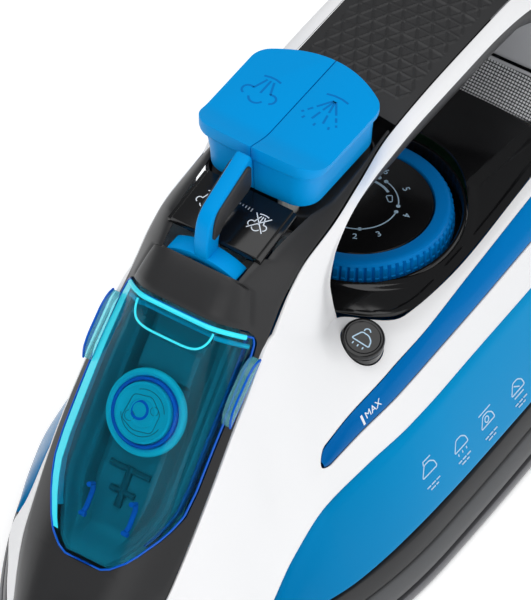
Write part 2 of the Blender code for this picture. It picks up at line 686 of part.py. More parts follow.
# ---------------------------------------------------------------- controls
def tilted(angle):
    return (0.0, math.sin(angle), math.cos(angle))


def build_dial(parts):
    axis = tilted(DIAL_TILT)
    centre = (0, DIAL_Y, DIAL_Z)
    def ribs(a, radius, height):
        return 0.35 * math.cos(30 * a) if radius > DIAL_FACE_R + 3 else 0.0
    h = -DIAL_RING_H
    inner = DIAL_FACE_R + 0.2
    turned("dial_ring", [(inner, h), (DIAL_RING_R - 0.6, h), (DIAL_RING_R, h + 1.2),
                         (DIAL_RING_R - 0.8, -1.0), (DIAL_RING_R - 1.8, 0.0), (inner + 0.6, 0.0),
                         (inner, -0.8), (inner, h)], centre, BRIGHT_BLUE, parts, axis, 60, ribs)
    turned("dial_face", [(0, h + 1.0), (DIAL_FACE_R - 0.2, h + 1.0), (DIAL_FACE_R - 0.2, -0.9),
                         (DIAL_FACE_R - 0.8, -0.4), (0, -0.3)], centre, GLOSS_BLACK, parts, axis, 40)
    turned("dial_shaft", [(0, -46.0), (3.0, -46.0), (3.0, h + 0.6), (0, h + 0.6)], centre, BRASS, parts,
           axis, 12)


def button_outline(sign, z, grow):
    """Plan loop of one of the two buttons; the inner edge is the seam between them."""
    seam, corner, crown = 0.2, 6.5, 0.0192
    half = 17.6 + grow
    front, rear = -19.6 - grow * 0.55, 19.4 + grow * 0.4
    pts = [(seam, front - 0.8), (half * 0.5, front - 0.5)]
    for k in range(4):
        a = math.radians(-90 + 30 * k)
        pts.append((half - corner + corner * math.cos(a), front + corner + corner * math.sin(a)))
    meet = half - corner * 0.5
    side_y = rear - crown * meet**2 - corner * math.sin(math.radians(60))
    for k in range(4):
        a = math.radians(20 * k)
        pts.append((half - corner + corner * math.cos(a), side_y + corner * math.sin(a)))
    pts += [(half * 0.45, rear - crown * (half * 0.45) ** 2), (seam, rear)]
    return [(x * sign, y, z) for x, y in pts]


def build_buttons(parts, cutters):
    for label, sign, centre_y in (("steam", -1, PLUNGER_Y), ("spray", 1, PLUNGER_Y)):
        loops = [button_outline(sign, BUTTON_FOOT + rise, grow)
                 for rise, grow in ((0.0, 0.0), (4.5, 0.2), (11.6, 1.5), (13.2, 2.9), (22.0, 2.9))]
        button = loft(f"{label}_button", loops, BRIGHT_BLUE, parts, (sign * 9.0, 0.0, BUTTON_FOOT))
        outline = [(30, BUTTON_TOP), (LIP_FROM_Y, BUTTON_TOP), (-22.4, BUTTON_LIP), (-30, BUTTON_LIP),
                   (-30, 160), (30, 160)]
        above = side_slab(f"{label}_button_above", outline, -40, 40, BRIGHT_BLUE, parts)
        cut(button, [above], cutters)
        x = sign * 9.0
        turned(f"{label}_plunger", [(0, 103.0), (2.4, 103.0), (2.4, 118.4), (3.0, 118.8), (3.0, 125.9),
                                    (0, 125.9)], (x, centre_y, 0), WHITE, parts, steps=12)
        turned(f"{label}_pump", [(2.9, 92.6), (4.5, 92.6), (4.5, 112.0), (4.9, 112.4), (4.9, 114.0),
                                 (2.9, 114.0), (2.9, 92.6)], (x, centre_y, 0), SILVER, parts, steps=16)


def build_lever(parts, cutters):
    y0, y1 = LEVER_Y
    origin = (0, (y0 + y1) / 2, LEVER_AXIS_Z)
    sector = []
    for k in range(9):
        a = math.radians(-29 + 7.25 * k)
        sector.append((DRUM_R * math.sin(a), DRUM_R * math.cos(a)))
    inner = [((DRUM_R - 3.0) * x / DRUM_R, (DRUM_R - 3.0) * z / DRUM_R) for x, z in reversed(sector)]
    outline = sector + inner
    loops = [[(x, y, LEVER_AXIS_Z + z) for x, z in outline] for y in (y0, y1)]
    lever = loft("steam_lever", loops, BRIGHT_BLUE, parts, origin)
    fin_side = [(-46.8, 120.6), (-47.2, 125.0), (-46.6, 132.0), (-45.2, 136.6), (-42.4, 139.4),
                (-28.2, 143.9), (-26.0, 144.2), (-24.7, 142.8), (-24.6, 133.2), (-26.2, 131.4),
                (-38.4, 129.6), (-40.6, 127.6), (-41.2, 125.0), (-41.2, 120.6)]
    fin = side_slab("fin", fin_side, -2.3, 2.3, BRIGHT_BLUE, parts, origin)
    web = side_slab("web", [(y0 + 0.6, LEVER_AXIS_Z - 3.4), (y0 + 0.6, 120.8), (y1 - 0.6, 120.8),
                            (y1 - 0.6, LEVER_AXIS_Z - 3.4)], -3.4, 3.4, BRIGHT_BLUE, parts, origin)
    join(lever, [fin, web])
    bore = turned("lever_bore", [(0, -20), (1.7, -20), (1.7, 20), (0, 20)], origin, WHITE, parts, (0, 1, 0),
                  12)
    cut(lever, [bore], cutters)
    pad = [(-44.4, 131.4), (-43.4, 135.8), (-41.0, 137.8), (-27.6, 141.8), (-26.4, 141.0), (-26.3, 134.4),
           (-27.6, 133.2), (-39.6, 131.0), (-41.6, 128.6), (-43.6, 128.2)]
    for label, sign in (("left", 1), ("right", -1)):
        side_slab(f"lever_pad_{label}", pad, sign * 2.6, sign * 3.4, RUBBER, parts, origin)
    turned("lever_pin", [(0, -8.0), (1.5, -8.0), (1.5, 8.0), (0, 8.0)], origin, STEEL, parts, (0, 1, 0), 12)


def join(obj, others):
    """Weld other bodies into obj as one solid."""
    for other in others:
        mod = obj.modifiers.new("weld", "BOOLEAN")
        mod.operation = "UNION"
        mod.solver = "EXACT"
        mod.object = other
        apply_modifiers(obj)
        bpy.data.objects.remove(other)
    face_outwards(obj)


def build_control_panel(parts, cutters):
    section = [(-40.2, 122.2), (-40.2, 124.2), (-22.0, 126.9), (-22.0, 124.9)]
    side_slab("control_panel", section, -13.8, 13.8, GLOSS_BLACK, parts)
    rim = [(x, y, z) for x, y, z in button_outline(1, 0, -1.4)]
    tray_outline = [(x, y) for x, y, _ in rim] + [(-x, y) for x, y, _ in reversed(rim)]
    tray = slab("button_tray", tray_outline, 119.6, 121.4, DARK, parts)
    profile = [(0, -5), (3.4, -5), (3.4, 5), (0, 5)]
    holes = [turned(f"plunger_hole_{k}", profile, (x, PLUNGER_Y, 120.5), WHITE, parts, steps=16)
             for k, x in enumerate((-9.0, 9.0))]
    cut(tray, holes, cutters)


def build_clean_button(parts, cutters):
    c = CLEAN_POS
    turned("self_clean_button", [(0, -3.2), (CLEAN_R - 0.4, -3.2), (CLEAN_R - 0.4, 1.2), (CLEAN_R, 1.6),
                                 (CLEAN_R, 2.6), (CLEAN_R - 0.7, 3.4), (0, 3.6)], c, GLOSS_BLACK, parts,
           CLEAN_AXIS, 24)
    turned("self_clean_rod", [(0, -9.0), (1.6, -9.0), (1.6, -3.5), (0, -3.5)], c, STEEL, parts, CLEAN_AXIS,
           10)
    shell = bpy.data.objects["side_shell_left"]
    hole = turned("clean_hole", [(0, -12), (CLEAN_R + 0.1, -12), (CLEAN_R + 0.1, 12), (0, 12)], c, WHITE,
                  parts, CLEAN_AXIS, 24)
    cut(shell, [hole], cutters)


# ---------------------------------------------------------------- inside
def build_inside(parts, cutters):
    turned("thermostat", [(0, 15.9), (9.0, 15.9), (9.0, 22.0), (5.0, 22.6), (5.0, 27.0), (0, 27.0)],
           (0, 28.6, 0), STEEL, parts, steps=16)
    tank_outline = [(22, -78), (30, -50), (35, -20), (37, 20), (36, 60), (33, 84), (-33, 84), (-36, 60),
                    (-37, 20), (-35, -20), (-30, -50), (-22, -78)]
    loops = []
    for z, k in ((28.0, 1.0), (44.0, 0.93), (58.0, 0.72)):
        loops.append([(x * k, y * (0.98 if z > 50 else 1.0), z) for x, y in tank_outline])
    tank = loft("water_tank", loops, TANK, parts)
    inner = [[(x * 0.93, y * 0.95 + 0.4, z) for x, y, z in loop] for loop in loops]
    inner = [[(x, y, z + dz) for x, y, z in loop] for loop, dz in zip(inner, (1.8, 0.0, -1.8))]
    hollow = loft("tank_hollow", inner, TANK, parts)
    inlet = turned("tank_inlet", [(0, 50), (7, 50), (7, 66), (0, 66)], (0, -56, 0), TANK, parts, steps=12)
    tunnel = turned("tank_tunnel", [(0, 20), (6, 20), (6, 66), (0, 66)], (0, 29.8, 0), TANK, parts, steps=12)
    cut(tank, [hollow, inlet, tunnel], cutters)
    box("power_board", (-20, 60, 61.0), (20, 82, 62.6), BOARD, parts)
    box("terminal_block", (-14, 104, 27.0), (14, 118, 40.0), CREAM, parts, 0.8)
    turned("indicator_lamp", [(0, 63.0), (2.5, 63.0), (2.5, 70.5), (1.6, 72.0), (0, 72.4)], (10, 79, 0),
           AMBER, parts, steps=12)
    turned("steam_valve", [(0, 16.0), (4.5, 16.0), (4.5, 26.0), (0, 26.0)], (0, -62.0, 0), BRASS, parts,
           steps=12)
    turned("spray_nozzle", [(0, -7.0), (3.2, -7.0), (3.2, 0.4), (4.6, 0.8), (4.6, 1.6), (3.4, 2.4),
                            (1.0, 2.4), (0.8, 1.2), (0, 1.2)], NOZZLE_POS, SILVER, parts, NOZZLE_AXIS, 16)
    nose = bpy.data.objects["front_trim"]
    hole = turned("nozzle_hole", [(0, -15), (3.5, -15), (3.5, 0.3), (0, 0.3)], NOZZLE_POS, WHITE, parts,
                  NOZZLE_AXIS, 16)
    cut(nose, [hole], cutters)


def build_filler(parts, cutters):
    tray = bpy.data.objects["filler_tray"]
    mid = front_point(2.5, 0.0)
    axis = np.array([0.0, -0.78, 0.62])
    base = mid - axis * 7.0
    turned("filler_neck", [(6.0, -9.0), (8.0, -9.0), (8.0, 0.4), (11.4, 0.6), (11.4, 2.4), (8.6, 3.6),
                           (6.0, 3.6), (6.0, -9.0)], tuple(base), CYAN, parts, tuple(axis), 32)
    hole = turned("neck_hole", [(0, -6), (8.3, -6), (8.3, 6), (0, 6)], tuple(base - axis * 1.2), WHITE,
                  parts, tuple(axis), 24)
    cut(tray, [hole], cutters)
    turned("filler_valve", [(0, -4.0), (5.6, -4.0), (5.6, 1.6), (4.6, 2.4), (2.2, 2.4), (1.8, 1.6),
                            (0, 1.6)], tuple(base), BRIGHT_BLUE, parts, tuple(axis), 24)


def build_cord_end(parts, cutters):
    back = bpy.data.objects["back_cover"]
    centre = (0, 131.6, 104.0)
    axis = (0, 0.92, 0.39)
    turned("cord_ball", [(0, -8.0), (4.0, -7.6), (7.4, -3.4), (8.0, 0), (7.4, 3.0), (5.8, 5.6), (5.6, 9.4),
                         (4.8, 10.2), (3.6, 10.2), (3.6, 3.0), (0, 3.0)], centre, RUBBER, parts, axis, 20)
    hole = turned("ball_hole", [(0, -14), (8.4, -14), (8.4, 30), (0, 30)], centre, WHITE, parts, axis, 24)
    cut(back, [hole], cutters)
    for label, x in (("right", -26), ("left", 26)):
        turned(f"heel_foot_{label}", [(0, 0), (4.0, 0), (4.0, 2.4), (3.0, 3.2), (0, 3.2)],
               (x, 136.2, 44.0), RUBBER, parts, (0, 1, 0), 12)


def main():
    for obj in list(bpy.data.objects):
        bpy.data.objects.remove(obj)
    parts = bpy.data.collections.new("clothes_iron")
    cutters = bpy.data.collections.new("cutters")
    bpy.context.scene.collection.children.link(parts)
    bpy.context.scene.collection.children.link(cutters)
    build_base(parts, cutters)
    build_side(1, "left", parts)
    build_side(-1, "right", parts)
    build_front(parts, cutters)
    build_top(parts)
    build_rear(parts)
    build_saddle(parts, cutters)
    build_dial(parts)
    build_buttons(parts, cutters)
    build_lever(parts, cutters)
    build_control_panel(parts, cutters)
    build_clean_button(parts, cutters)
    build_inside(parts, cutters)
    build_filler(parts, cutters)
    build_cord_end(parts, cutters)


main()
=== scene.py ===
"""Looks of the steam clothes iron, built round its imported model. Sizes are millimetres unless said."""
import math

import bmesh
import bpy
import numpy as np
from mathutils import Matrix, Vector


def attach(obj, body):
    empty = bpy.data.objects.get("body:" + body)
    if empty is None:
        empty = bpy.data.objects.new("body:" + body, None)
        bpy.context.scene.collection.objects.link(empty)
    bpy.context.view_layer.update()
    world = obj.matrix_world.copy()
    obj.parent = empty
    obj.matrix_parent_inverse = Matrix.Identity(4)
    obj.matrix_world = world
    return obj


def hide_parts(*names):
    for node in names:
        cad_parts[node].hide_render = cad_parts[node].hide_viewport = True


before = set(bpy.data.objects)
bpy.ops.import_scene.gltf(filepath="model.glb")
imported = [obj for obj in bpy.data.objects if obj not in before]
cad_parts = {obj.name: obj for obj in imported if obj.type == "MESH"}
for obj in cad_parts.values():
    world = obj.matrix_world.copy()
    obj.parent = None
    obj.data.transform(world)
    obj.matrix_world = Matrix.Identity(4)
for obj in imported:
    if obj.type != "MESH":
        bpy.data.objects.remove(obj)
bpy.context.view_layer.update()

MM = 0.001

# ---------------------------------------------------------------- dimensions shared with the frame
NOSE_Y, WIDEST_Y, HEEL_Y = -140.0, -10.0, 128.0
HALF_WIDTH = 59.5
DIAL_CENTRE = (0.0, 32.0, 76.0)
DIAL_AXIS = (0.0, math.sin(math.radians(3.7)), math.cos(math.radians(3.7)))
DIAL_FACE_R, DIAL_RING_R, DIAL_RING_H, WELL_R = 21.6, 27.6, 8.5, 31.0
BUTTON_TOP, BUTTON_FOOT = 141.4, 126.2
LEVER_AXIS_Z, DRUM_R = 100.0, 22.4
LEVER_Y = (-47.0, -41.0)
CLEAN_POS, CLEAN_AXIS, CLEAN_R = (29.6, -11.0, 73.2), (0.26, -0.2, 0.945), 6.2
WINDOW_FROM, WINDOW_TO = 4.2, 10.5
NOZZLE_POS, NOZZLE_AXIS = (0.0, -118.5, 38.9), (0.0, -0.78, 0.63)
FRONT_NORMAL = np.array([0.0, -0.78, 0.62])  # of the filler neck, square to the front slope
LUG_FROM_X, LUG_TO_X = 21.4, 24.6
CORD_BALL, CORD_AXIS, HEEL_FOOT = (0, 131.6, 104.0), (0, 0.92, 0.39), (26, 136.2, 44.0)
PLUNGER_X, PLUNGER_Y = 9.0, -16.9
INSIDE = (0, 0, 60)  # a point within the body, from which skins face outwards
CAMERA_AZIMUTH, CAMERA_ELEVATION = math.radians(33.5), math.radians(46.6)
CAMERA_LENS, CAMERA_DISTANCE = 800.0, 3.732  # lens in mm, distance in metres
AIM_RIGHT, AIM_UP = -0.0258, -0.02798  # metres from the dial's centre to the picture's centre
FLOOR_REACH, FLOOR_Z = 6000, -0.4

# Side skin: each column's y from nose to heel, then (x, z) of its rows from the skirt up to the top edge
SIDE_COLUMNS = [
    (-118.5, [(16.8, 21.5), (16.8, 21.6), (16.7, 21.9), (16.6, 22.2), (16.6, 22.5), (16.5, 22.8)]),
    (-98.0, [(31.0, 21.5), (30.9, 21.9), (29.0, 29.0), (27.2, 35.0), (25.6, 41.0), (24.2, 47.5)]),
    (-80.0, [(40.6, 21.5), (40.0, 23.0), (35.6, 34.5), (32.2, 45.0), (28.6, 57.5), (25.2, 70.5)]),
    (-62.0, [(47.8, 21.5), (40.2, 37.0), (36.2, 46.5), (32.6, 57.0), (28.4, 73.0), (24.5, 90.5)]),
    (-46.0, [(52.3, 21.5), (40.9, 45.0), (37.7, 52.8), (35.6, 56.8), (29.6, 77.0), (23.7, 104.0)]),
    (-28.0, [(54.4, 21.5), (42.7, 46.6), (39.2, 55.4), (36.7, 60.6), (31.0, 72.5), (25.6, 88.0)]),
    (-10.0, [(55.3, 21.5), (45.2, 48.2), (41.6, 58.0), (38.7, 64.2), (31.5, 71.8), (20.6, 77.0)]),
    (8.0, [(55.6, 21.5), (46.0, 49.5), (42.5, 60.0), (39.2, 66.6), (36.2, 69.6), (32.6, 70.8)]),
    (32.0, [(55.5, 21.5), (46.0, 50.2), (42.9, 61.4), (38.3, 68.5), (36.6, 69.8), (34.8, 70.2)]),
    (64.0, [(54.8, 21.5), (45.8, 50.4), (42.6, 62.4), (37.2, 70.0), (35.6, 71.2), (33.8, 71.6)]),
    (93.0, [(52.6, 21.5), (44.0, 50.0), (40.8, 62.0), (36.2, 70.6), (34.6, 72.0), (33.0, 73.0)]),
    (126.0, [(47.0, 21.5), (41.5, 49.5), (39.0, 61.0), (35.6, 69.0), (34.4, 71.5), (33.2, 74.0)]),
]
SIDE = np.array([[(x, y, z) for x, z in rows] for y, rows in SIDE_COLUMNS])
SIDE[7, 5, 1] = 6.0  # the top edge turns in under the front of the hand opening
SIDE[11, :, 1] = (126.0, 127.0, 127.5, 128.0, 128.2, 128.5)  # the heel leans back a little
# Edge between the white side skin and the dark centre skin, from the nose over the handle to the heel
RIM_A = np.array(
    [tuple(p) for p in SIDE[:5, 5]]
    + [(23.3, -37.0, 113.0), (23.0, -29.0, 117.5), (22.6, -15.0, 119.8), (21.4, 0.0, 123.0),
       (19.8, 18.0, 126.2), (19.3, 45.0, 126.8), (19.3, 75.0, 126.4), (20.0, 99.0, 122.0),
       (22.0, 117.0, 112.0), (26.0, 127.0, 98.0), (30.5, 129.5, 84.0), (33.2, 128.5, 74.0)]
)
# Edge of the white skin round the hand opening, from the front foot over the top to the rear foot
RIM_B = np.array(
    [(20.6, -10.0, 77.0), (21.4, -13.5, 88.0), (22.3, -16.0, 99.0), (23.2, -15.4, 108.0),
     (23.9, -11.0, 116.4), (24.1, -3.0, 121.6), (24.0, 10.0, 124.2), (23.6, 30.0, 124.9),
     (23.6, 60.0, 124.8), (24.0, 82.0, 122.5), (26.0, 94.0, 114.0), (28.5, 98.0, 102.0),
     (31.0, 97.0, 88.0), (33.0, 93.0, 73.0)]
)
# Where a line across the rim meets each edge: parameter on RIM_A, parameter on RIM_B
RIM_PAIRS = np.array(
    [(4.0, 0.0), (5.3, 1.5), (6.4, 2.8), (7.2, 3.8), (8.0, 4.8), (8.8, 5.8), (9.6, 6.6),
     (10.4, 7.4), (11.2, 8.4), (12.0, 9.4), (12.8, 10.1), (13.6, 10.8), (14.5, 11.7), (15.4, 12.5),
     (16.0, 13.0)]
)
# Centre line (y, z) of the dark front skin, one point for each of the first ten points of RIM_A
SPINE = np.array(
    [(-132.0, 22.5), (-105.0, 53.2), (-86.9, 76.1), (-70.1, 97.0), (-57.6, 112.6), (-47.6, 121.2),
     (-36.5, 125.2), (-21.0, 127.6), (-2.0, 128.0), (18.0, 128.0)]
)
# Filler cover: (section, half-width) from its lower tip to its upper end
COVER_EDGE = [(0.93, 0.0), (0.95, 5.0), (1.0, 8.6), (1.1, 12.2), (1.2, 14.5), (1.4, 18.0), (1.55, 20.0),
              (1.72, 21.6), (2.0, 22.2), (3.0, 22.2), (3.6, 21.7), (3.8, 21.2), (3.9, 20.4), (3.97, 18.6)]


# ---------------------------------------------------------------- numbers and surfaces
def cubic(points, t):
    """Shape-keeping cubic through points at t = 0, 1, 2...; no overshoot between them."""
    pts = np.asarray(points, dtype=float)
    t = np.clip(np.asarray(t, dtype=float), 0.0, len(pts) - 1.0)
    i = np.minimum(t.astype(int), len(pts) - 2)
    f = (t - i)[..., None] if pts.ndim > 1 else t - i
    step = np.diff(pts, axis=0)
    slope = np.empty_like(pts)
    slope[0], slope[-1] = step[0], step[-1]
    a, b = step[:-1], step[1:]
    total = np.where(np.abs(a + b) < 1e-12, 1.0, a + b)
    slope[1:-1] = np.where(a * b > 0, 2 * a * b / total, 0.0)
    h01 = f * f * (3 - 2 * f)
    return ((1 - h01) * pts[i] + h01 * pts[i + 1] + (f**3 - 2 * f**2 + f) * slope[i]
            + (f**3 - f**2) * slope[i + 1])


def side_point(u, v):
    """Point of the side skin at column u and row v."""
    rows = np.array([cubic(SIDE[:, r], u) for r in range(SIDE.shape[1])])
    return cubic(rows, v)


def side_normal(u, v):
    """Outward unit normal of the side skin."""
    a = side_point(min(u + 0.02, 11.0), v) - side_point(u - 0.02, v)
    b = side_point(u, v + 0.02) - side_point(u, v - 0.02)
    n = np.cross(a, b)
    return n / np.linalg.norm(n)


def plan_half(y):
    """Half-width of the soleplate's outline at y."""
    if y <= WIDEST_Y:
        s = max(0.0, (y - NOSE_Y) / (WIDEST_Y - NOSE_Y))
        return HALF_WIDTH * (1.0 - (1.0 - s) ** 2.1) ** 0.93
    s = (y - WIDEST_Y) / (HEEL_Y - WIDEST_Y)
    return HALF_WIDTH - 8.0 * s**2.4


def plan_loop(inset, count=60, corner=14.0):
    """Closed outline inset from the soleplate's edge, anticlockwise seen from above."""
    start = NOSE_Y + inset * 1.9
    rear_y = HEEL_Y - inset
    right = [(0.0, start)]
    for k in range(1, count + 1):
        y = start + (WIDEST_Y - start) * (k / count) ** 1.8
        right.append((max(plan_half(y) - inset, 0.2 * k), y))
    for k in range(1, 25):
        y = WIDEST_Y + (rear_y - corner - WIDEST_Y) * k / 24
        right.append((plan_half(y) - inset, y))
    edge = right[-1][0]
    for k in range(1, 13):
        a = math.radians(90 * k / 12)
        right.append((edge - corner * (1 - math.cos(a)), rear_y - corner + corner * math.sin(a)))
    return right + [(-x, y) for x, y in reversed(right) if x > 0.001]


def front_point(s, x):
    """Point of the dark front skin at section s, x millimetres from the centre plane."""
    centre, edge = cubic(SPINE, s), cubic(RIM_A, s)
    q = min(1.0, abs(x) / edge[0])
    fall = 0.05 * q * q + 0.95 * max(0.0, (q - 0.42) / 0.58) ** 1.55
    y, z = centre + (edge[1:] - centre) * fall
    return np.array([x, y, z])


def front_normal(s):
    """Outward unit normal of the front skin on its centre line."""
    d = cubic(SPINE, min(s + 0.05, 9.0)) - cubic(SPINE, max(s - 0.05, 0.0))
    n = np.array([0.0, -d[1], d[0]])
    return n / np.linalg.norm(n)


def smooth_step(a, b, t):
    """Smooth rise from 0 at a to 1 at b."""
    t = min(1.0, max(0.0, (t - a) / (b - a)))
    return t * t * (3 - 2 * t)


def rounded(outline, radius, steps=5):
    """Polygon with each corner turned into an arc; radius is one number or one per corner."""
    out, count = [], len(outline)
    for k in range(count):
        p = np.array(outline[k], float)
        before, after = np.array(outline[k - 1], float) - p, np.array(outline[(k + 1) % count], float) - p
        la, lb = np.linalg.norm(before), np.linalg.norm(after)
        r = radius[k] if isinstance(radius, (list, tuple)) else radius
        reach = min(r, 0.48 * la, 0.48 * lb)
        if reach < 0.02:
            out.append(tuple(p))
            continue
        a, b = p + before / la * reach, p + after / lb * reach
        for j in range(steps + 1):
            t = j / steps
            out.append(tuple((1 - t) ** 2 * a + 2 * t * (1 - t) * p + t * t * b))
    return out


# ---------------------------------------------------------------- meshes
def new_piece(name, verts, faces, mat, mats=None):
    """Object from points in millimetres."""
    mesh = bpy.data.meshes.new(name)
    mesh.from_pydata([tuple(float(c) * MM for c in v) for v in verts], [], faces)
    mesh.update()
    obj = bpy.data.objects.new(name, mesh)
    bpy.context.scene.collection.objects.link(obj)
    mesh.materials.append(mat)
    for extra in mats or []:
        mesh.materials.append(extra)
    return obj


def edit(obj, change):
    """Run change on the piece's mesh."""
    bm = bmesh.new()
    bm.from_mesh(obj.data)
    change(bm)
    bm.to_mesh(obj.data)
    bm.free()


def clean(obj, inside=None):
    """Weld doubles and turn the faces outwards, or away from a point inside for an open skin."""
    def weld(bm):
        bmesh.ops.remove_doubles(bm, verts=bm.verts, dist=2e-6)
        bmesh.ops.recalc_face_normals(bm, faces=bm.faces)
        if inside is not None:
            mid = Vector(inside) * MM
            vote = sum((f.calc_center_median() - mid).dot(f.normal) * f.calc_area() for f in bm.faces)
            if vote < 0:
                bmesh.ops.reverse_faces(bm, faces=bm.faces)
    edit(obj, weld)
    return obj


def settle(obj, angle=34.0):
    """Apply the modifiers and shade smooth, sharp only over the given angle."""
    depsgraph = bpy.context.evaluated_depsgraph_get()
    depsgraph.update()
    mesh = bpy.data.meshes.new_from_object(obj.evaluated_get(depsgraph))
    obj.modifiers.clear()
    obj.data = mesh
    mesh.shade_smooth()
    mesh.set_sharp_from_angle(angle=math.radians(angle))
    return obj


def add_bevel(obj, width, segments=2, angle=30.0):
    mod = obj.modifiers.new("edges", "BEVEL")
    mod.width = width * MM
    mod.segments = segments
    mod.limit_method = "ANGLE"
    mod.angle_limit = math.radians(angle)
    mod.use_clamp_overlap = True
    return obj


def skin(name, grid, mat, thickness, inside, keep=None, bevel=0.3, rim=None):
    """Skin over a grid of points, thickened inwards, with rounded edges."""
    grid = np.asarray(grid, float)
    rows, cols = grid.shape[:2]
    faces = [(i * cols + j, (i + 1) * cols + j, (i + 1) * cols + j + 1, i * cols + j + 1)
             for i in range(rows - 1) for j in range(cols - 1) if keep is None or keep(i, j)]
    return thick(name, grid.reshape(-1, 3), faces, mat, thickness, inside, bevel, rim)


def thick(name, verts, faces, mat, thickness, inside, bevel=0.3, rim=None):
    """Open skin thickened inwards, away from its outer face, with rounded edges."""
    obj = clean(new_piece(name, verts, faces, mat, [rim] if rim else None), inside)
    edit(obj, drop_loose)
    solid = obj.modifiers.new("wall", "SOLIDIFY")
    solid.thickness, solid.offset = thickness * MM, -1.0
    solid.use_even_offset = True
    solid.thickness_clamp = 1.5
    if rim:
        solid.material_offset_rim = 1
    if bevel:
        add_bevel(obj, bevel, 2, 50.0)
    return settle(obj)


def drop_loose(bm):
    """Remove slivers and points without a face."""
    bmesh.ops.dissolve_degenerate(bm, dist=1e-7, edges=bm.edges)
    bmesh.ops.delete(bm, geom=[v for v in bm.verts if not v.link_faces], context="VERTS")


def loft(name, loops, mat, bevel=0.0, ring=False, segments=2, angle=34.0):
    """Closed body through loops of equal length, with flat ends, or closed on itself as a ring."""
    count = len(loops[0])
    verts = [p for loop in loops for p in loop]
    faces = []
    for i in range(len(loops) if ring else len(loops) - 1):
        n = (i + 1) % len(loops)
        for j in range(count):
            k = (j + 1) % count
            faces.append((i * count + j, i * count + k, n * count + k, n * count + j))
    if not ring:
        faces.append(tuple(range(count))[::-1])
        faces.append(tuple((len(loops) - 1) * count + j for j in range(count)))
    obj = clean(new_piece(name, verts, faces, mat))
    if bevel:
        add_bevel(obj, bevel, segments)
    return settle(obj, angle)


def across(name, outline, x0, x1, mat, bevel=0.3):
    """Body made from a (y, z) outline run across the iron from x0 to x1."""
    return loft(name, [[(x, y, z) for y, z in outline] for x in (x0, x1)], mat, bevel)


def frame_of(axis):
    """Turn that takes +Z to the axis."""
    turn = Vector((0, 0, 1)).rotation_difference(Vector(axis).normalized()).to_matrix()
    return np.array(turn)


def turned(name, profile, centre, axis, mat, steps=64, lobes=None, angle=34.0):
    """Body of revolution from (radius, height) pairs, closed on the axis or on itself."""
    turn, verts, faces, rings = frame_of(axis), [], [], []
    for radius, height in profile:
        if radius < 1e-6:
            rings.append([len(verts)])
            verts.append(turn @ np.array([0, 0, height]) + centre)
            continue
        ring = []
        for k in range(steps):
            a = 2 * math.pi * k / steps
            r = radius + (lobes(a, radius, height) if lobes else 0.0)
            ring.append(len(verts))
            verts.append(turn @ np.array([r * math.cos(a), r * math.sin(a), height]) + centre)
        rings.append(ring)
    for low, high in zip(rings, rings[1:]):
        for k in range(steps):
            n = (k + 1) % steps
            quad = [low[k % len(low)], low[n % len(low)], high[n % len(high)], high[k % len(high)]]
            faces.append(tuple(q for m, q in enumerate(quad) if q not in quad[:m]))
    if len(rings[0]) > 1 and profile[0] != profile[-1]:
        faces += [tuple(rings[0][::-1]), tuple(rings[-1])]
    return settle(clean(new_piece(name, verts, faces, mat)), angle)


def plug(radius, low, high, centre, axis, mat, steps=48):
    """Plain cylinder along an axis, to cut a hole with."""
    return turned("plug", [(0, low), (radius, low), (radius, high), (0, high)], centre, axis, mat, steps)


def cut(obj, cutters, angle=34.0):
    """Take other bodies away from obj and delete them."""
    for cutter in cutters:
        mod = obj.modifiers.new("cut", "BOOLEAN")
        mod.operation, mod.solver, mod.object = "DIFFERENCE", "EXACT", cutter
    settle(obj, angle)
    for cutter in cutters:
        bpy.data.objects.remove(cutter)
    return obj


def merge(obj, others):
    """Put other meshes into obj as further bodies of the same piece."""
    bm = bmesh.new()
    bm.from_mesh(obj.data)
    for other in others:
        bm.from_mesh(other.data)
        bpy.data.objects.remove(other)
    bm.to_mesh(obj.data)
    bm.free()
    return obj


def rod(name, points, radius, mat, closed=False, resolution=3):
    """Round bar along a list of points."""
    curve = bpy.data.curves.new(name, "CURVE")
    curve.dimensions = "3D"
    curve.bevel_depth, curve.bevel_resolution, curve.use_fill_caps = radius * MM, resolution, True
    line = curve.splines.new("POLY")
    line.points.add(len(points) - 1)
    line.use_cyclic_u = closed
    for slot, p in zip(line.points, points):
        slot.co = (p[0] * MM, p[1] * MM, p[2] * MM, 1.0)
    temp = bpy.data.objects.new(name + "_path", curve)
    bpy.context.scene.collection.objects.link(temp)
    mesh = bpy.data.meshes.new_from_object(temp.evaluated_get(bpy.context.evaluated_depsgraph_get()))
    bpy.data.objects.remove(temp)
    mesh.materials.clear()
    mesh.materials.append(mat)
    obj = bpy.data.objects.new(name, mesh)
    bpy.context.scene.collection.objects.link(obj)
    return settle(clean(obj))


# ---------------------------------------------------------------- printed and moulded marks
def ribbon(points, width, closed=False):
    """Flat band along a 2D line: returns its points and faces."""
    pts = [np.array(p, float) for p in points]
    if closed:
        pts.append(pts[0])
    verts, faces = [], []
    for k, p in enumerate(pts):
        a = pts[k - 1] if k else (pts[-2] if closed else p)
        b = pts[k + 1] if k + 1 < len(pts) else (pts[1] if closed else p)
        d = (b - a) / max(np.linalg.norm(b - a), 1e-9)
        n = np.array([-d[1], d[0]]) * width / 2
        verts += [p + n, p - n]
        if k:
            i = 2 * k
            faces.append((i - 2, i - 1, i + 1, i))
    return verts, faces


def arc(cx, cy, r, a0, a1, steps=14):
    return [(cx + r * math.cos(math.radians(a0 + (a1 - a0) * k / steps)),
             cy + r * math.sin(math.radians(a0 + (a1 - a0) * k / steps))) for k in range(steps + 1)]


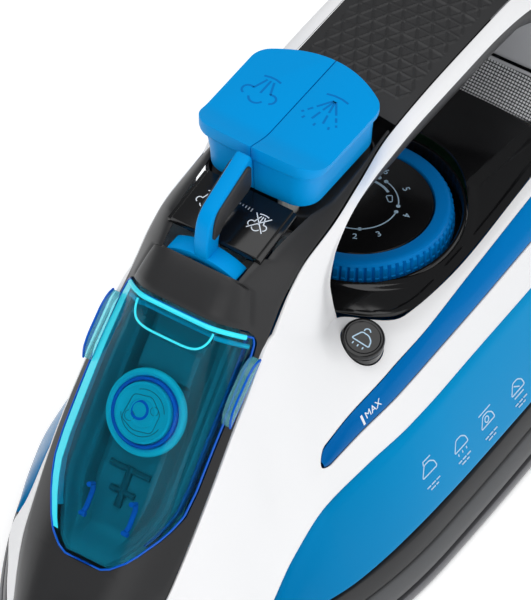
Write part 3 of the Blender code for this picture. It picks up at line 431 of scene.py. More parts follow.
def fine_line(points, step=0.5):
    """Straight runs of a 2D line cut into short pieces, so that it can lie on a curved surface."""
    out = [points[0]]
    for a, b in zip(points, points[1:]):
        count = max(1, int(math.dist(a, b) / step))
        out += [(a[0] + (b[0] - a[0]) * k / count, a[1] + (b[1] - a[1]) * k / count)
                for k in range(1, count + 1)]
    return out


def lettering(body, size):
    """Outline of generic lettering as 2D points and faces, centred on the origin."""
    curve = bpy.data.curves.new("lettering", "FONT")
    curve.body, curve.size, curve.align_x, curve.align_y = body, size, "CENTER", "CENTER"
    curve.resolution_u = 3
    temp = bpy.data.objects.new("lettering", curve)
    bpy.context.scene.collection.objects.link(temp)
    mesh = bpy.data.meshes.new_from_object(temp.evaluated_get(bpy.context.evaluated_depsgraph_get()))
    bpy.data.objects.remove(temp)
    return [np.array(v.co[:2]) for v in mesh.vertices], [tuple(p.vertices) for p in mesh.polygons]


def mark(name, shapes, place, mat, height=0.05):
    """Print on a surface: 2D shapes laid on it by place(x, y, lift)."""
    verts, faces = [], []
    for points, polygons in shapes:
        base, count = len(verts), len(points)
        verts += [place(p[0], p[1], height) for p in points] + [place(p[0], p[1], -height) for p in points]
        edges = {}
        for poly in polygons:
            faces.append(tuple(base + i for i in poly))
            faces.append(tuple(base + count + i for i in reversed(poly)))
            for a, b in zip(poly, poly[1:] + poly[:1]):
                edges[(a, b)] = (b, a) not in edges
                if (b, a) in edges:
                    edges[(b, a)] = edges[(a, b)] = False
        faces += [(base + b, base + a, base + count + a, base + count + b)
                  for (a, b), rim in edges.items() if rim]
    obj = new_piece(name, verts, faces, mat)
    edit(obj, lambda bm: bmesh.ops.recalc_face_normals(bm, faces=bm.faces))
    return obj


def mirrored(half):
    """Closed plan outline from its half on one side and the mirror image of that half."""
    return half + [(-x, y) for x, y in reversed(half)]


def flat_place(origin, right, up):
    """Placing on a plane: right and up are directions in it."""
    o, r, u = (np.array(v, float) for v in (origin, right, up))
    r, u = r / np.linalg.norm(r), u / np.linalg.norm(u)
    n = np.cross(r, u)
    return lambda x, y, lift: o + r * x + u * y + n * lift


def side_place(u0, v0, turn=0.0):
    """Placing on the left side skin about (u0, v0): x runs aft, y runs up."""
    du = 1.0 / np.linalg.norm(side_point(u0 + 0.5, v0) - side_point(u0 - 0.5, v0))
    dv = 0.4 / np.linalg.norm(side_point(u0, v0 + 0.2) - side_point(u0, v0 - 0.2))
    c, s = math.cos(math.radians(turn)), math.sin(math.radians(turn))
    def place(x, y, lift):
        u, v = u0 + (x * c - y * s) * du, v0 + (x * s + y * c) * dv
        return side_point(u, v) + side_normal(u, v) * lift
    return place


# ---------------------------------------------------------------- materials
def srgb(r, g, b):
    """Linear colour from 0 to 255 display values."""
    return tuple((c / 255 / 12.92) if c <= 10 else ((c / 255 + 0.055) / 1.055) ** 2.4 for c in (r, g, b))


def plastic(name, colour, roughness, grain=0.05, grain_size=0.25, vary=0.05, spread=0.05, metallic=0.0,
            coat=0.0,
            transmission=0.0, ior=1.46, specular=0.5):
    """Moulded plastic: fine grain in the bump, slow drift in colour and roughness."""
    mat = bpy.data.materials.new(name)
    mat.use_nodes = True
    nodes, links = mat.node_tree.nodes, mat.node_tree.links
    bsdf = nodes["Principled BSDF"]
    for socket, value in (("Metallic", metallic), ("Coat Weight", coat), ("Coat Roughness", 0.04),
                          ("Transmission Weight", transmission), ("IOR", ior),
                          ("Specular IOR Level", specular)):
        bsdf.inputs[socket].default_value = value
    place = nodes.new("ShaderNodeTexCoord")
    drift = nodes.new("ShaderNodeTexNoise")
    drift.inputs["Scale"].default_value = 28.0
    drift.inputs["Detail"].default_value = 3.0
    links.new(place.outputs["Object"], drift.inputs["Vector"])
    tone = nodes.new("ShaderNodeMix")
    tone.data_type = "RGBA"
    tone.inputs["A"].default_value = (*(c * (1 - vary) for c in colour), 1)
    tone.inputs["B"].default_value = (*(min(1.0, c * (1 + vary)) for c in colour), 1)
    links.new(drift.outputs["Fac"], tone.inputs["Factor"])
    links.new(tone.outputs["Result"], bsdf.inputs["Base Color"])
    sheen = nodes.new("ShaderNodeMapRange")
    sheen.inputs["To Min"].default_value = max(0.02, roughness - spread)
    sheen.inputs["To Max"].default_value = roughness + spread
    links.new(drift.outputs["Fac"], sheen.inputs["Value"])
    links.new(sheen.outputs["Result"], bsdf.inputs["Roughness"])
    speck = nodes.new("ShaderNodeTexNoise")
    speck.inputs["Scale"].default_value = 1000.0 / grain_size / 2
    speck.inputs["Detail"].default_value = 2.0
    links.new(place.outputs["Object"], speck.inputs["Vector"])
    bump = nodes.new("ShaderNodeBump")
    bump.inputs["Strength"].default_value = min(1.0, grain)
    bump.inputs["Distance"].default_value = grain_size * MM * 0.3
    links.new(speck.outputs["Fac"], bump.inputs["Height"])
    links.new(bump.outputs["Normal"], bsdf.inputs["Normal"])
    return mat


def tint_along(mat, axis, stops):
    """Paint shade into a material along a world axis by blending extra colours: stops are (position in mm,
    colour).
    """
    nodes, links = mat.node_tree.nodes, mat.node_tree.links
    place = next(n for n in nodes if n.type == "TEX_COORD")
    split = nodes.new("ShaderNodeSeparateXYZ")
    links.new(place.outputs["Object"], split.inputs["Vector"])
    span = nodes.new("ShaderNodeMapRange")
    span.inputs["From Min"].default_value = stops[0][0] * MM
    span.inputs["From Max"].default_value = stops[-1][0] * MM
    links.new(split.outputs[axis], span.inputs["Value"])
    ramp = nodes.new("ShaderNodeValToRGB")
    links.new(span.outputs["Result"], ramp.inputs["Fac"])
    low, high = stops[0][0], stops[-1][0]
    elements = ramp.color_ramp.elements
    while len(elements) < len(stops):
        elements.new(0.5)
    for element, (pos, colour) in zip(elements, stops):
        element.position = (pos - low) / (high - low)
        element.color = (*colour, 1)
    mix = nodes.new("ShaderNodeMix")
    mix.data_type, mix.blend_type = "RGBA", "MULTIPLY"
    mix.inputs["Factor"].default_value = 1.0
    bsdf = nodes["Principled BSDF"]
    old = bsdf.inputs["Base Color"].links[0].from_socket
    links.new(old, mix.inputs["A"])
    links.new(ramp.outputs["Color"], mix.inputs["B"])
    links.new(mix.outputs["Result"], bsdf.inputs["Base Color"])
    return mat


def lattice(mat, pitch, light, dark):
    """Fine grid of bright cells, as behind a ribbed lens."""
    nodes, links = mat.node_tree.nodes, mat.node_tree.links
    place = next(n for n in nodes if n.type == "TEX_COORD")
    brick = nodes.new("ShaderNodeTexBrick")
    brick.offset, brick.squash = 0.0, 1.0
    brick.inputs["Scale"].default_value = 1.0
    brick.inputs["Brick Width"].default_value = pitch * MM
    brick.inputs["Row Height"].default_value = pitch * MM * 0.8
    brick.inputs["Mortar Size"].default_value = pitch * MM * 0.16
    brick.inputs["Mortar Smooth"].default_value = 0.35
    brick.inputs["Color1"].default_value = (*light, 1)
    brick.inputs["Color2"].default_value = (*(c * 0.8 for c in light), 1)
    brick.inputs["Mortar"].default_value = (*dark, 1)
    links.new(place.outputs["Object"], brick.inputs["Vector"])
    links.new(brick.outputs["Color"], nodes["Principled BSDF"].inputs["Base Color"])
    return mat


WHITE = plastic("white_shell", srgb(234, 234, 235), 0.34, 0.03, 0.3, 0.012, 0.04)
# Painted shade: the side panel's blue darkens towards the nose through colour stops along Y.
PANEL_BLUE = tint_along(plastic("blue_panel", (1.0, 1.0, 1.0), 0.24, 0.02, 0.3, 0.03, 0.03, specular=0.2),
                        "Y",
                        [(-90, srgb(0, 98, 152)), (-50, srgb(0, 122, 178)), (0, srgb(0, 138, 196)),
                         (128, srgb(0, 144, 202))])
# Painted shade: the level window's blue darkens towards the nose through colour stops along Y.
WINDOW_BLUE = tint_along(plastic("blue_window", (1.0, 1.0, 1.0), 0.16, 0.02, 0.3, 0.06, 0.04, specular=0.2),
                         "Y",
                         [(-46, srgb(0, 88, 158)), (-10, srgb(0, 102, 172)), (40, srgb(0, 112, 184)),
                          (110, srgb(2, 130, 196))])
BUTTON_BLUE = plastic("bright_blue", srgb(0, 146, 218), 0.42, 0.10, 0.25, 0.02, 0.04, specular=0.2)
LEVER_BLUE = plastic("lever_blue", srgb(0, 144, 216), 0.36, 0.06, 0.25, 0.02, 0.04, specular=0.2)
DIAL_BLUE = plastic("dial_blue", srgb(0, 118, 194), 0.34, 0.08, 0.25, 0.03, 0.04, specular=0.25)
for blue in (PANEL_BLUE, WINDOW_BLUE, BUTTON_BLUE, LEVER_BLUE, DIAL_BLUE):
    blue.node_tree.nodes["Principled BSDF"].inputs["Specular Tint"].default_value = (0.12, 0.55, 1.0, 1)
ICON_BLUE = plastic("icon_blue", srgb(0, 112, 186), 0.5, 0.05, 0.25, 0.03, 0.04, specular=0.1)
DARK = plastic("dark_plastic", srgb(42, 42, 43), 0.36, 0.12, 0.3, 0.05, 0.05, specular=0.3)
BAND = plastic("grey_band", srgb(70, 71, 73), 0.45, 0.14, 0.3, 0.05, 0.05)
GLOSS = plastic("black_gloss", srgb(17, 17, 18), 0.10, 0.02, 0.3, 0.1, 0.03, specular=0.4)
PLATE = plastic("plate_gloss", srgb(16, 16, 17), 0.16, 0.03, 0.3, 0.1, 0.03, specular=0.4)
RUBBER = plastic("grip_rubber", srgb(42, 42, 43), 0.5, 0.25, 0.35, 0.08, 0.06, specular=0.35)
SOLE = plastic("ceramic_sole", srgb(92, 92, 95), 0.3, 0.12, 0.2, 0.08, 0.05, metallic=0.3, coat=0.3)
# Light grey: the nozzle's and pumps' own finish; on the rear post's face under the handle it is white
# plastic painted in shade.
SILVER_AND_SHADE = plastic("silver_plastic", srgb(186, 187, 190), 0.35, 0.06, 0.3, 0.02, 0.04, metallic=0.1)
LENS = lattice(plastic("clear_lens", (0.7, 0.7, 0.72), 0.12, 0.02, 0.3, 0.05, 0.03, coat=0.6), 0.95,
               srgb(214, 216, 218), srgb(40, 41, 43))
COVER = plastic("teal_clear", (0.10, 0.66, 0.80), 0.02, 0.004, 0.3, 0.01, 0.01, transmission=1.0, ior=1.2,
                specular=0.25)
LUG_CLEAR = plastic("teal_light", (0.30, 0.84, 0.92), 0.04, 0.01, 0.3, 0.01, 0.01, transmission=0.8, ior=1.3)
COVER_EDGE_MAT = plastic("teal_edge", srgb(0, 120, 205), 0.08, 0.015, 0.3, 0.05, 0.02, transmission=0.35)
CYAN = plastic("cyan_plastic", srgb(120, 246, 250), 0.16, 0.03, 0.3, 0.04, 0.03)
# Painted highlight: bright cyan standing in for light caught in the clear cover, on its edge strip, ribs,
# pocket edge and -x wall.
CYAN_GLOW = plastic("cyan_edge_highlight", srgb(60, 232, 252), 0.2, 0.02, 0.3, 0.04, 0.02, specular=0.3)
RING_BLUE = plastic("ring_blue", srgb(0, 128, 232), 0.15, 0.02, 0.3, 0.04, 0.03, specular=0.3)
EDGE_BLUE = plastic("edge_blue", srgb(0, 84, 190), 0.15, 0.02, 0.3, 0.04, 0.03, specular=0.3)
VALVE_TEAL = plastic("valve_teal", srgb(90, 232, 242), 0.14, 0.03, 0.3, 0.1, 0.03)
TRAY_GREY = plastic("tray_grey", srgb(136, 146, 152), 0.3, 0.08, 0.3, 0.06, 0.05)
TRAY_DARK = plastic("tray_dark", srgb(96, 104, 110), 0.3, 0.08, 0.3, 0.06, 0.05)
PRINT = plastic("white_print", srgb(226, 232, 238), 0.4, 0.05, 0.2, 0.03, 0.04)
PRINT_SOFT = plastic("soft_print", srgb(176, 206, 228), 0.4, 0.05, 0.2, 0.03, 0.04)
PRINT_GREY = plastic("grey_print", srgb(160, 166, 172), 0.4, 0.05, 0.2, 0.03, 0.04)
CAST = plastic("cast_aluminium", srgb(188, 190, 192), 0.5, 0.4, 0.8, 0.06, 0.08, metallic=0.9)
STEEL = plastic("steel", srgb(180, 180, 182), 0.32, 0.15, 0.3, 0.05, 0.08, metallic=1.0)
BRASS = plastic("brass", srgb(200, 168, 96), 0.35, 0.15, 0.3, 0.05, 0.08, metallic=1.0)
CREAM = plastic("white_inner", srgb(222, 220, 212), 0.45, 0.1, 0.3, 0.03, 0.05)
BOARD = plastic("green_board", srgb(40, 110, 70), 0.5, 0.2, 0.4, 0.1, 0.08)
AMBER = plastic("amber_lamp", srgb(220, 110, 60), 0.15, 0.03, 0.3, 0.05, 0.03, transmission=0.4)


# ---------------------------------------------------------------- base
def band(name, profile, mat):
    """Ring round the base from a closed section of (inset, height)."""
    return loft(name, [[(x, y, z) for x, y in plan_loop(inset)] for inset, z in profile], mat, ring=True)


def build_base():
    sole_profile = [(1.6, 0.0), (0.7, 0.25), (0.15, 0.8), (0.0, 1.6), (0.0, 3.4), (0.3, 3.85), (0.9, 4.0)]
    sole = loft("sole", [[(x, y, z) for x, y in plan_loop(i)] for i, z in sole_profile], SOLE)
    vents = []
    for x, y in ((0, -112), (14, -92), (24, -66), (31, -38), (36, -8), (37, 24)):
        for side in {x, -x}:
            profile = [(0, -1), (2.6, -1), (2.6, 0.0), (1.8, 0.8), (1.8, 6), (0, 6)]
            vents.append(turned("vent", profile, (side, y, 0), (0, 0, 1), SOLE, 24))
    cut(sole, vents)
    keep(sole, "iron", "ceramic_sole", "soleplate")
    lower = band("skirt_band_lower", [(1.2, 5.5), (0.55, 5.75), (0.4, 6.4), (0.5, 8.4), (1.35, 11.9),
                                      (1.75, 12.5),
                                      (2.3, 12.7), (4.2, 12.7), (4.2, 5.5)], BAND)
    keep(lower, "iron", "grey_band", "skirt_lower")
    upper = band("skirt_band_upper", [(2.9, 12.95), (2.3, 13.1), (2.15, 13.6), (2.25, 14.6), (3.1, 18.9),
                                      (3.45, 19.6), (3.9, 19.8), (5.8, 19.8), (5.2, 12.95)], DARK)
    keep(upper, "iron", "dark_plastic", "skirt_upper")


def keep(obj, body, slot, *nodes):
    """Let a piece ride on its body and stand for its nodes; slot is not used."""
    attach(obj, body)
    if nodes:
        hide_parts(*nodes)
    return obj


# ---------------------------------------------------------------- side skins
def window_rows(u):
    """The two rows between which the level window lies at column u."""
    front = min(1.0, max(0.0, (u - WINDOW_FROM) / 0.22))
    rear = min(1.0, max(0.0, (WINDOW_TO - u) / 0.16))
    share = 0.5 * math.sqrt(1 - (1 - front) ** 2) * math.sqrt(1 - (1 - rear) ** 2)
    return 2.5 - share, 2.5 + share * 1.35


def ease(k):
    """From 0 to 1 in six steps, slow at first, for the columns at a window's round ends."""
    return 1 - math.cos(math.pi / 2 * k / 6)


def side_columns():
    """Columns of the side skin, and those of them under the rim's front and rear feet."""
    tips = [WINDOW_FROM + 0.22 * ease(k) for k in range(7)]
    tail = [WINDOW_TO - 0.16 * ease(k) for k in range(7)]
    front = np.concatenate([tips, np.linspace(WINDOW_FROM + 0.34, 6, 15)])
    rear = np.concatenate([np.linspace(10, WINDOW_TO - 0.2, 7), tail[::-1],
                           np.linspace(WINDOW_TO + 0.07, 11, 9)])
    front = np.concatenate([[4.0, 4.08, 4.15], front])
    count = max(len(front), len(rear))
    front, rear = pad_columns(front, count), pad_columns(rear, count)
    columns = np.concatenate([np.linspace(0, 4, 41)[:-1], front, np.linspace(6, 10, 49)[1:-1], rear])
    return columns, front, rear


def pad_columns(cols, count):
    """Columns with the widest gaps halved until there are count of them."""
    cols = list(cols)
    while len(cols) < count:
        gaps = np.diff(cols)
        k = int(np.argmax(gaps))
        cols.insert(k + 1, (cols[k] + cols[k + 1]) / 2)
    return np.array(cols)


def rim_strip(front, rear, steps=112):
    """Grid across the rim from RIM_A to RIM_B, ending exactly on the two seams."""
    front_seam = [side_point(u, 5.0) for u in front]
    rear_seam = [side_point(u, 5.0) for u in rear[::-1]]
    count = len(front_seam)
    grid = []
    for i in range(steps + 1):
        pa, pb = cubic(RIM_PAIRS, i / steps * (len(RIM_PAIRS) - 1))
        a, b = cubic(RIM_A, pa), cubic(RIM_B, pb)
        reach = np.linalg.norm(b - a)
        row = []
        for j in range(count):
            t = j / (count - 1)
            bulge = 4 * t * (1 - t) * 0.10 * reach
            row.append(a + (b - a) * t + np.array([bulge * 0.6, 0.0, bulge * 0.4]))
        grid.append(row)
    reach = steps * 4 // 14
    for seam, end in ((front_seam, 0), (rear_seam, steps)):
        shifts = [np.asarray(seam[j]) - grid[end][j] for j in range(count)]
        for k in range(reach):
            i = abs(end - k)
            for j in range(count):
                grid[i][j] = grid[i][j] + shifts[j] * (1 - k / reach) ** 2
    return grid


def build_side(sign, label):
    cols, front, rear = side_columns()
    verts, faces = [], []
    def add_grid(grid, skip=None):
        base, width = len(verts), len(grid[0])
        for row in grid:
            verts.extend((p[0] * sign, p[1], p[2]) for p in row)
        for i in range(len(grid) - 1):
            for j in range(width - 1):
                if skip is None or not skip(i, j):
                    a = base + i * width + j
                    faces.append((a, a + width, a + width + 1, a + 1))
    grid = []
    for u in cols:
        low, high = window_rows(u)
        grid.append([side_point(u, 1 + (low - 1) * k / 9) for k in range(10)]
                    + [side_point(u, high + (5 - high) * (k / 18)) for k in range(19)])
    add_grid(grid, lambda i, j: j == 9)
    add_grid(rim_strip(front, rear))
    shell = thick(f"shell_{label}", verts, faces, WHITE, 1.6, INSIDE, 0.35)
    if sign > 0:
        cut(shell, [plug(CLEAN_R + 0.25, -12, 12, CLEAN_POS, CLEAN_AXIS, WHITE)])
    keep(shell, "iron", "white_shell", f"side_shell_{label}")

    panel = []
    for u in np.linspace(2.1, 11, 150):
        edge = 1.0 - 0.35 / max(np.linalg.norm(side_point(u, 1.0) - side_point(u, 0.0)), 0.5)
        row = []
        for k in range(25):
            t = k / 24
            p = side_point(u, edge * t)
            n = side_normal(u, min(edge * t, 0.99))
            fold = 0.9 * max(0.0, (t - 0.84) / 0.16) if t > 0.84 else 0.0
            p = p + n * (0.5 * math.sin(math.pi * min(1, t / 0.84)) - fold)
            row.append((p[0] * sign, p[1], p[2]))
        panel.append(row)
    obj = skin(f"panel_{label}", panel, PANEL_BLUE, 1.6, INSIDE)
    keep(obj, "iron", "blue_panel", f"side_panel_{label}")

    glass = []
    tip = [WINDOW_FROM + 0.05 + 0.2 * ease(k) for k in range(7)]
    middle = list(np.linspace(WINDOW_FROM + 0.4, WINDOW_TO - 0.2, 90))
    tail = [WINDOW_TO - 0.03 - 0.15 * ease(5 - k) for k in range(6)]
    for u in tip + middle + tail:
        low, high = window_rows(u)
        length = max(np.linalg.norm(side_point(u, high) - side_point(u, low)), 0.3)
        inset = min(0.45, 0.4 * (high - low)) if length < 0.8 else 0.35 / length * (high - low)
        low, high = low + inset, high - inset
        row = []
        for k in range(11):
            t = k / 10
            v = low + (high - low) * t
            crown = 0.35 * (1 - abs(2 * t - 1) ** 3) - 0.25
            p = side_point(u, v) + side_normal(u, v) * crown
            row.append((p[0] * sign, p[1], p[2]))
        glass.append(row)
    obj = skin(f"window_{label}", glass, WINDOW_BLUE, 1.0, INSIDE, bevel=0.25)
    keep(obj, "iron", "blue_window", f"level_window_{label}")


# ---------------------------------------------------------------- front skin, filler cover and tray
def cover_half(s):
    """Half-width of the filler cover at section s."""
    return float(np.interp(s, *np.transpose(COVER_EDGE)))


def opening_half(s):
    """Half-width of the openings in the front skin: filler cover ahead, controls behind."""
    if s < 3.97:
        return cover_half(s) + 0.3
    if s < 4.8:
        return 18.9 + (15.7 - 18.9) * (s - 3.97) / 0.83
    if s < 4.9:
        return 15.7 + (12.4 - 15.7) * (s - 4.8) / 0.1
    return float(np.interp(s, [4.9, 5.66, 5.74, 6.0, 7.0, 7.4, 8.3, 9.0],
                           [12.4, 13.6, 15.6, 15.8, 17.4, 19.0, 19.0, 18.6]))


def build_front():
    stations = np.concatenate([[0.0, 0.12, 0.25, 0.4, 0.55, 0.7, 0.83, 0.93, 0.95, 0.97, 1.0, 1.05, 1.1,
                                1.15],
                               np.linspace(1.2, 1.72, 9), np.linspace(1.85, 3.5, 13),
                               [3.6, 3.7, 3.8, 3.86, 3.92, 3.97, 4.02, 4.07, 4.14, 4.22, 4.32],
                               np.linspace(4.42, 4.7, 4),
                               [4.75, 4.8, 4.85, 4.9, 4.94, 5.0, 5.1, 5.2, 5.3, 5.4, 5.5, 5.58, 5.66, 5.74],
                               np.linspace(5.8, 9.0, 44)])
    outer = (0, 0.12, 0.25, 0.4, 0.55, 0.7, 0.82, 0.9, 0.95, 0.98, 1.0)
    inner = (0.97, 0.94, 0.88, 0.8, 0.66, 0.5, 0.33, 0.16, 0.0)
    grid = []
    for s in stations:
        edge = cubic(RIM_A, s)[0] - float(np.interp(s, [3.0, 3.7, 4.5, 5.5], [0.5, 0.9, 0.9, 0.5]))
        hole = min(opening_half(s), edge - 0.8)
        n = front_normal(s)
        block = smooth_step(3.96, 4.1, s)
        row = []
        for t in outer:
            x = edge + (hole - edge) * t
            dip = -0.45 * block * (1 - smooth_step(0.0, 1.4, x - hole)) * (1 - smooth_step(5.6, 6.2, s))
            roll = 0.55 * smooth_step(4.9, 5.6, s) * math.sin(math.pi * t)
            row.append(front_point(s, x) + n * (dip + roll))
        for k in inner:
            lift = 0.75 * block * smooth_step(0.0, 1.0, hole * (1 - k))
            row.append(front_point(s, hole * k) + n * lift)
        row += [(-p[0], p[1], p[2]) for p in row[-2::-1]]
        grid.append(row)
    first, last = len(outer) - 1, len(outer) + 2 * len(inner) - 1
    def keep_face(i, j):
        mid = (stations[i] + stations[i + 1]) / 2
        return not (first <= j < last and (0.94 < mid < 3.97 or mid > 4.92))
    trim = skin("front_skin", grid, DARK, 1.0, INSIDE, keep_face, 0.25)
    cut(trim, [plug(3.6, -15, 0.4, NOZZLE_POS, NOZZLE_AXIS, DARK)])
    keep(trim, "iron", "dark_plastic", "front_trim")


def pocket_front(x):
    """Section at which the finger pocket begins, x millimetres from the centre plane."""
    return 3.79 - 0.34 * max(0.0, 1 - min(1.0, abs(x) / 12.4) ** 5) ** 0.45


def pocket(s, x):
    """Depth of the finger pocket in the cover's upper end."""
    low = pocket_front(x)
    return 2.3 * smooth_step(low - 0.02, low + 0.07, s) * (1 - smooth_step(3.80, 3.88, s)) * (
        1 - smooth_step(11.4, 12.6, abs(x)))


def build_cover():
    stations = np.concatenate([[0.955, 0.965, 0.98, 1.0, 1.03, 1.07, 1.12, 1.2, 1.3, 1.4, 1.55, 1.72],
                               np.linspace(1.9, 3.3, 15), np.linspace(3.36, 3.9, 14)])
    shares = np.sin(np.linspace(-math.pi / 2, math.pi / 2, 41))
    grid = []
    for s in stations:
        half, n = cover_half(s), front_normal(s)
        row = []
        for q in shares:
            x = half * q
            crown = 0.5 * (1 - q * q)
            row.append(front_point(s, x) + n * (crown - pocket(s, x)))
        grid.append(row)
    lid = skin("filler_cover_skin", grid, COVER, 1.3, INSIDE, None, 0.25, COVER_EDGE_MAT)
    keep(lid, "cover", "teal_clear", "filler_cover")
    for sign in (1, -1):
        outline = []
        for s, lift in ((2.72, -0.4), (3.62, -0.4), (3.55, 1.6), (3.4, 2.6), (3.0, 2.6), (2.84, 1.8)):
            outline.append(tuple((front_point(s, LUG_FROM_X) + FRONT_NORMAL * lift)[1:]))
        outline = rounded(outline, [0.3, 0.3, 1.4, 1.8, 1.8, 1.4])
        lug = across(f"cover_grip_{sign + 2}", outline, *sorted((sign * LUG_FROM_X, sign * LUG_TO_X)),
                     LUG_CLEAR, 0.7)
        keep(lug, "cover", "teal_clear")
        ring = [(sign * (LUG_TO_X - 0.3), y, z) for y, z in outline]
        keep(rod(f"cover_grip_edge_{sign + 2}", ring, 0.34, EDGE_BLUE, closed=True), "cover", "teal_clear")
        hook = [front_point(1.62, 7.0 * sign + dx) - front_normal(1.4) * depth + np.array([0, dy, dy * 1.24])
                for dx, dy, depth in ((0, 0, 1.6), (0, 0, 4.4), (0, -1.2, 5.6), (0, -4.4, 5.6),
                                      (0, -5.4, 4.6),
                                      (0, -5.4, 3.2), (1.6, -5.4, 3.0))]
        keep(rod(f"cover_hook_{sign + 2}", hook, 0.75, RING_BLUE), "cover", "teal_clear")
    flange_rows = np.linspace(1.3, 3.82, 60)
    # Painted highlight: the -x wall takes the bright cyan highlight colour, its mirror at +x the darker edge
    # teal.
    for label, sign in (("right", -1), ("left", 1)):
        grid = []
        for s in flange_rows:
            x, n = cover_half(s) * 0.87, front_normal(s)
            grid.append([front_point(s, x * sign) - n * d - np.array([sign * 0.10 * d, 0, 0])
                         for d in (1.5, 2.6, 3.7, 4.8)])
        wall = skin(f"cover_wall_{label}", grid, CYAN_GLOW if sign < 0 else COVER_EDGE_MAT, 0.9,
                    (sign * 60, -60, 80), bevel=0.2)
        keep(wall, "cover", "teal_clear")
    # The ribs and the pocket's edge are real shapes; their bright cyan is a painted highlight of light
    # caught in the clear plastic.
    for name, s0, drop in (("top", 3.86, -0.1), ("inner", 3.72, 1.8)):
        path = []
        for q in np.linspace(-0.92, 0.92, 49):
            x = cover_half(s0) * q
            depth = drop + (pocket(s0, x) if drop > 0 else 0.0)
            path.append(front_point(s0, x) - front_normal(s0) * depth)
        keep(rod(f"cover_rib_{name}", path, 0.75, CYAN_GLOW), "cover", "teal_clear")
    brim = [front_point(pocket_front(12.4 * math.cos(a)), 12.4 * math.cos(a)) + front_normal(3.6) * 0.3
            for a in np.linspace(0.0, math.pi, 60)]
    keep(rod("cover_pocket_edge", brim, 0.35, CYAN_GLOW), "cover", "teal_clear")
    rising = np.concatenate([np.linspace(0.962, 1.2, 14), np.linspace(1.26, 3.88, 50)])
    rim = [front_point(s, cover_half(s) * 0.99) + front_normal(s) * 0.1 for s in rising]
    rim += [front_point(3.885, x) + front_normal(3.885) * 0.15 for x in np.linspace(18, -18, 25)]
    rim += [front_point(s, -cover_half(s) * 0.99) + front_normal(s) * 0.1 for s in rising[::-1]]
    keep(rod("cover_edge_bead", rim, 0.32, EDGE_BLUE, closed=True), "cover", "teal_clear")
    # Painted highlight: a thin bright cyan strip laid over the cover along its -x edge.
    grid = []
    for s in np.linspace(1.12, 3.84, 60):
        half, n = cover_half(s), front_normal(s)
        grid.append([front_point(s, half * q) + n * (0.5 * (1 - q * q) + 0.12)
                     for q in (-0.97, -0.93, -0.88, -0.83)])
    keep(skin("cover_edge_light", grid, CYAN_GLOW, 0.3, INSIDE, bevel=0.0), "cover", "teal_clear")


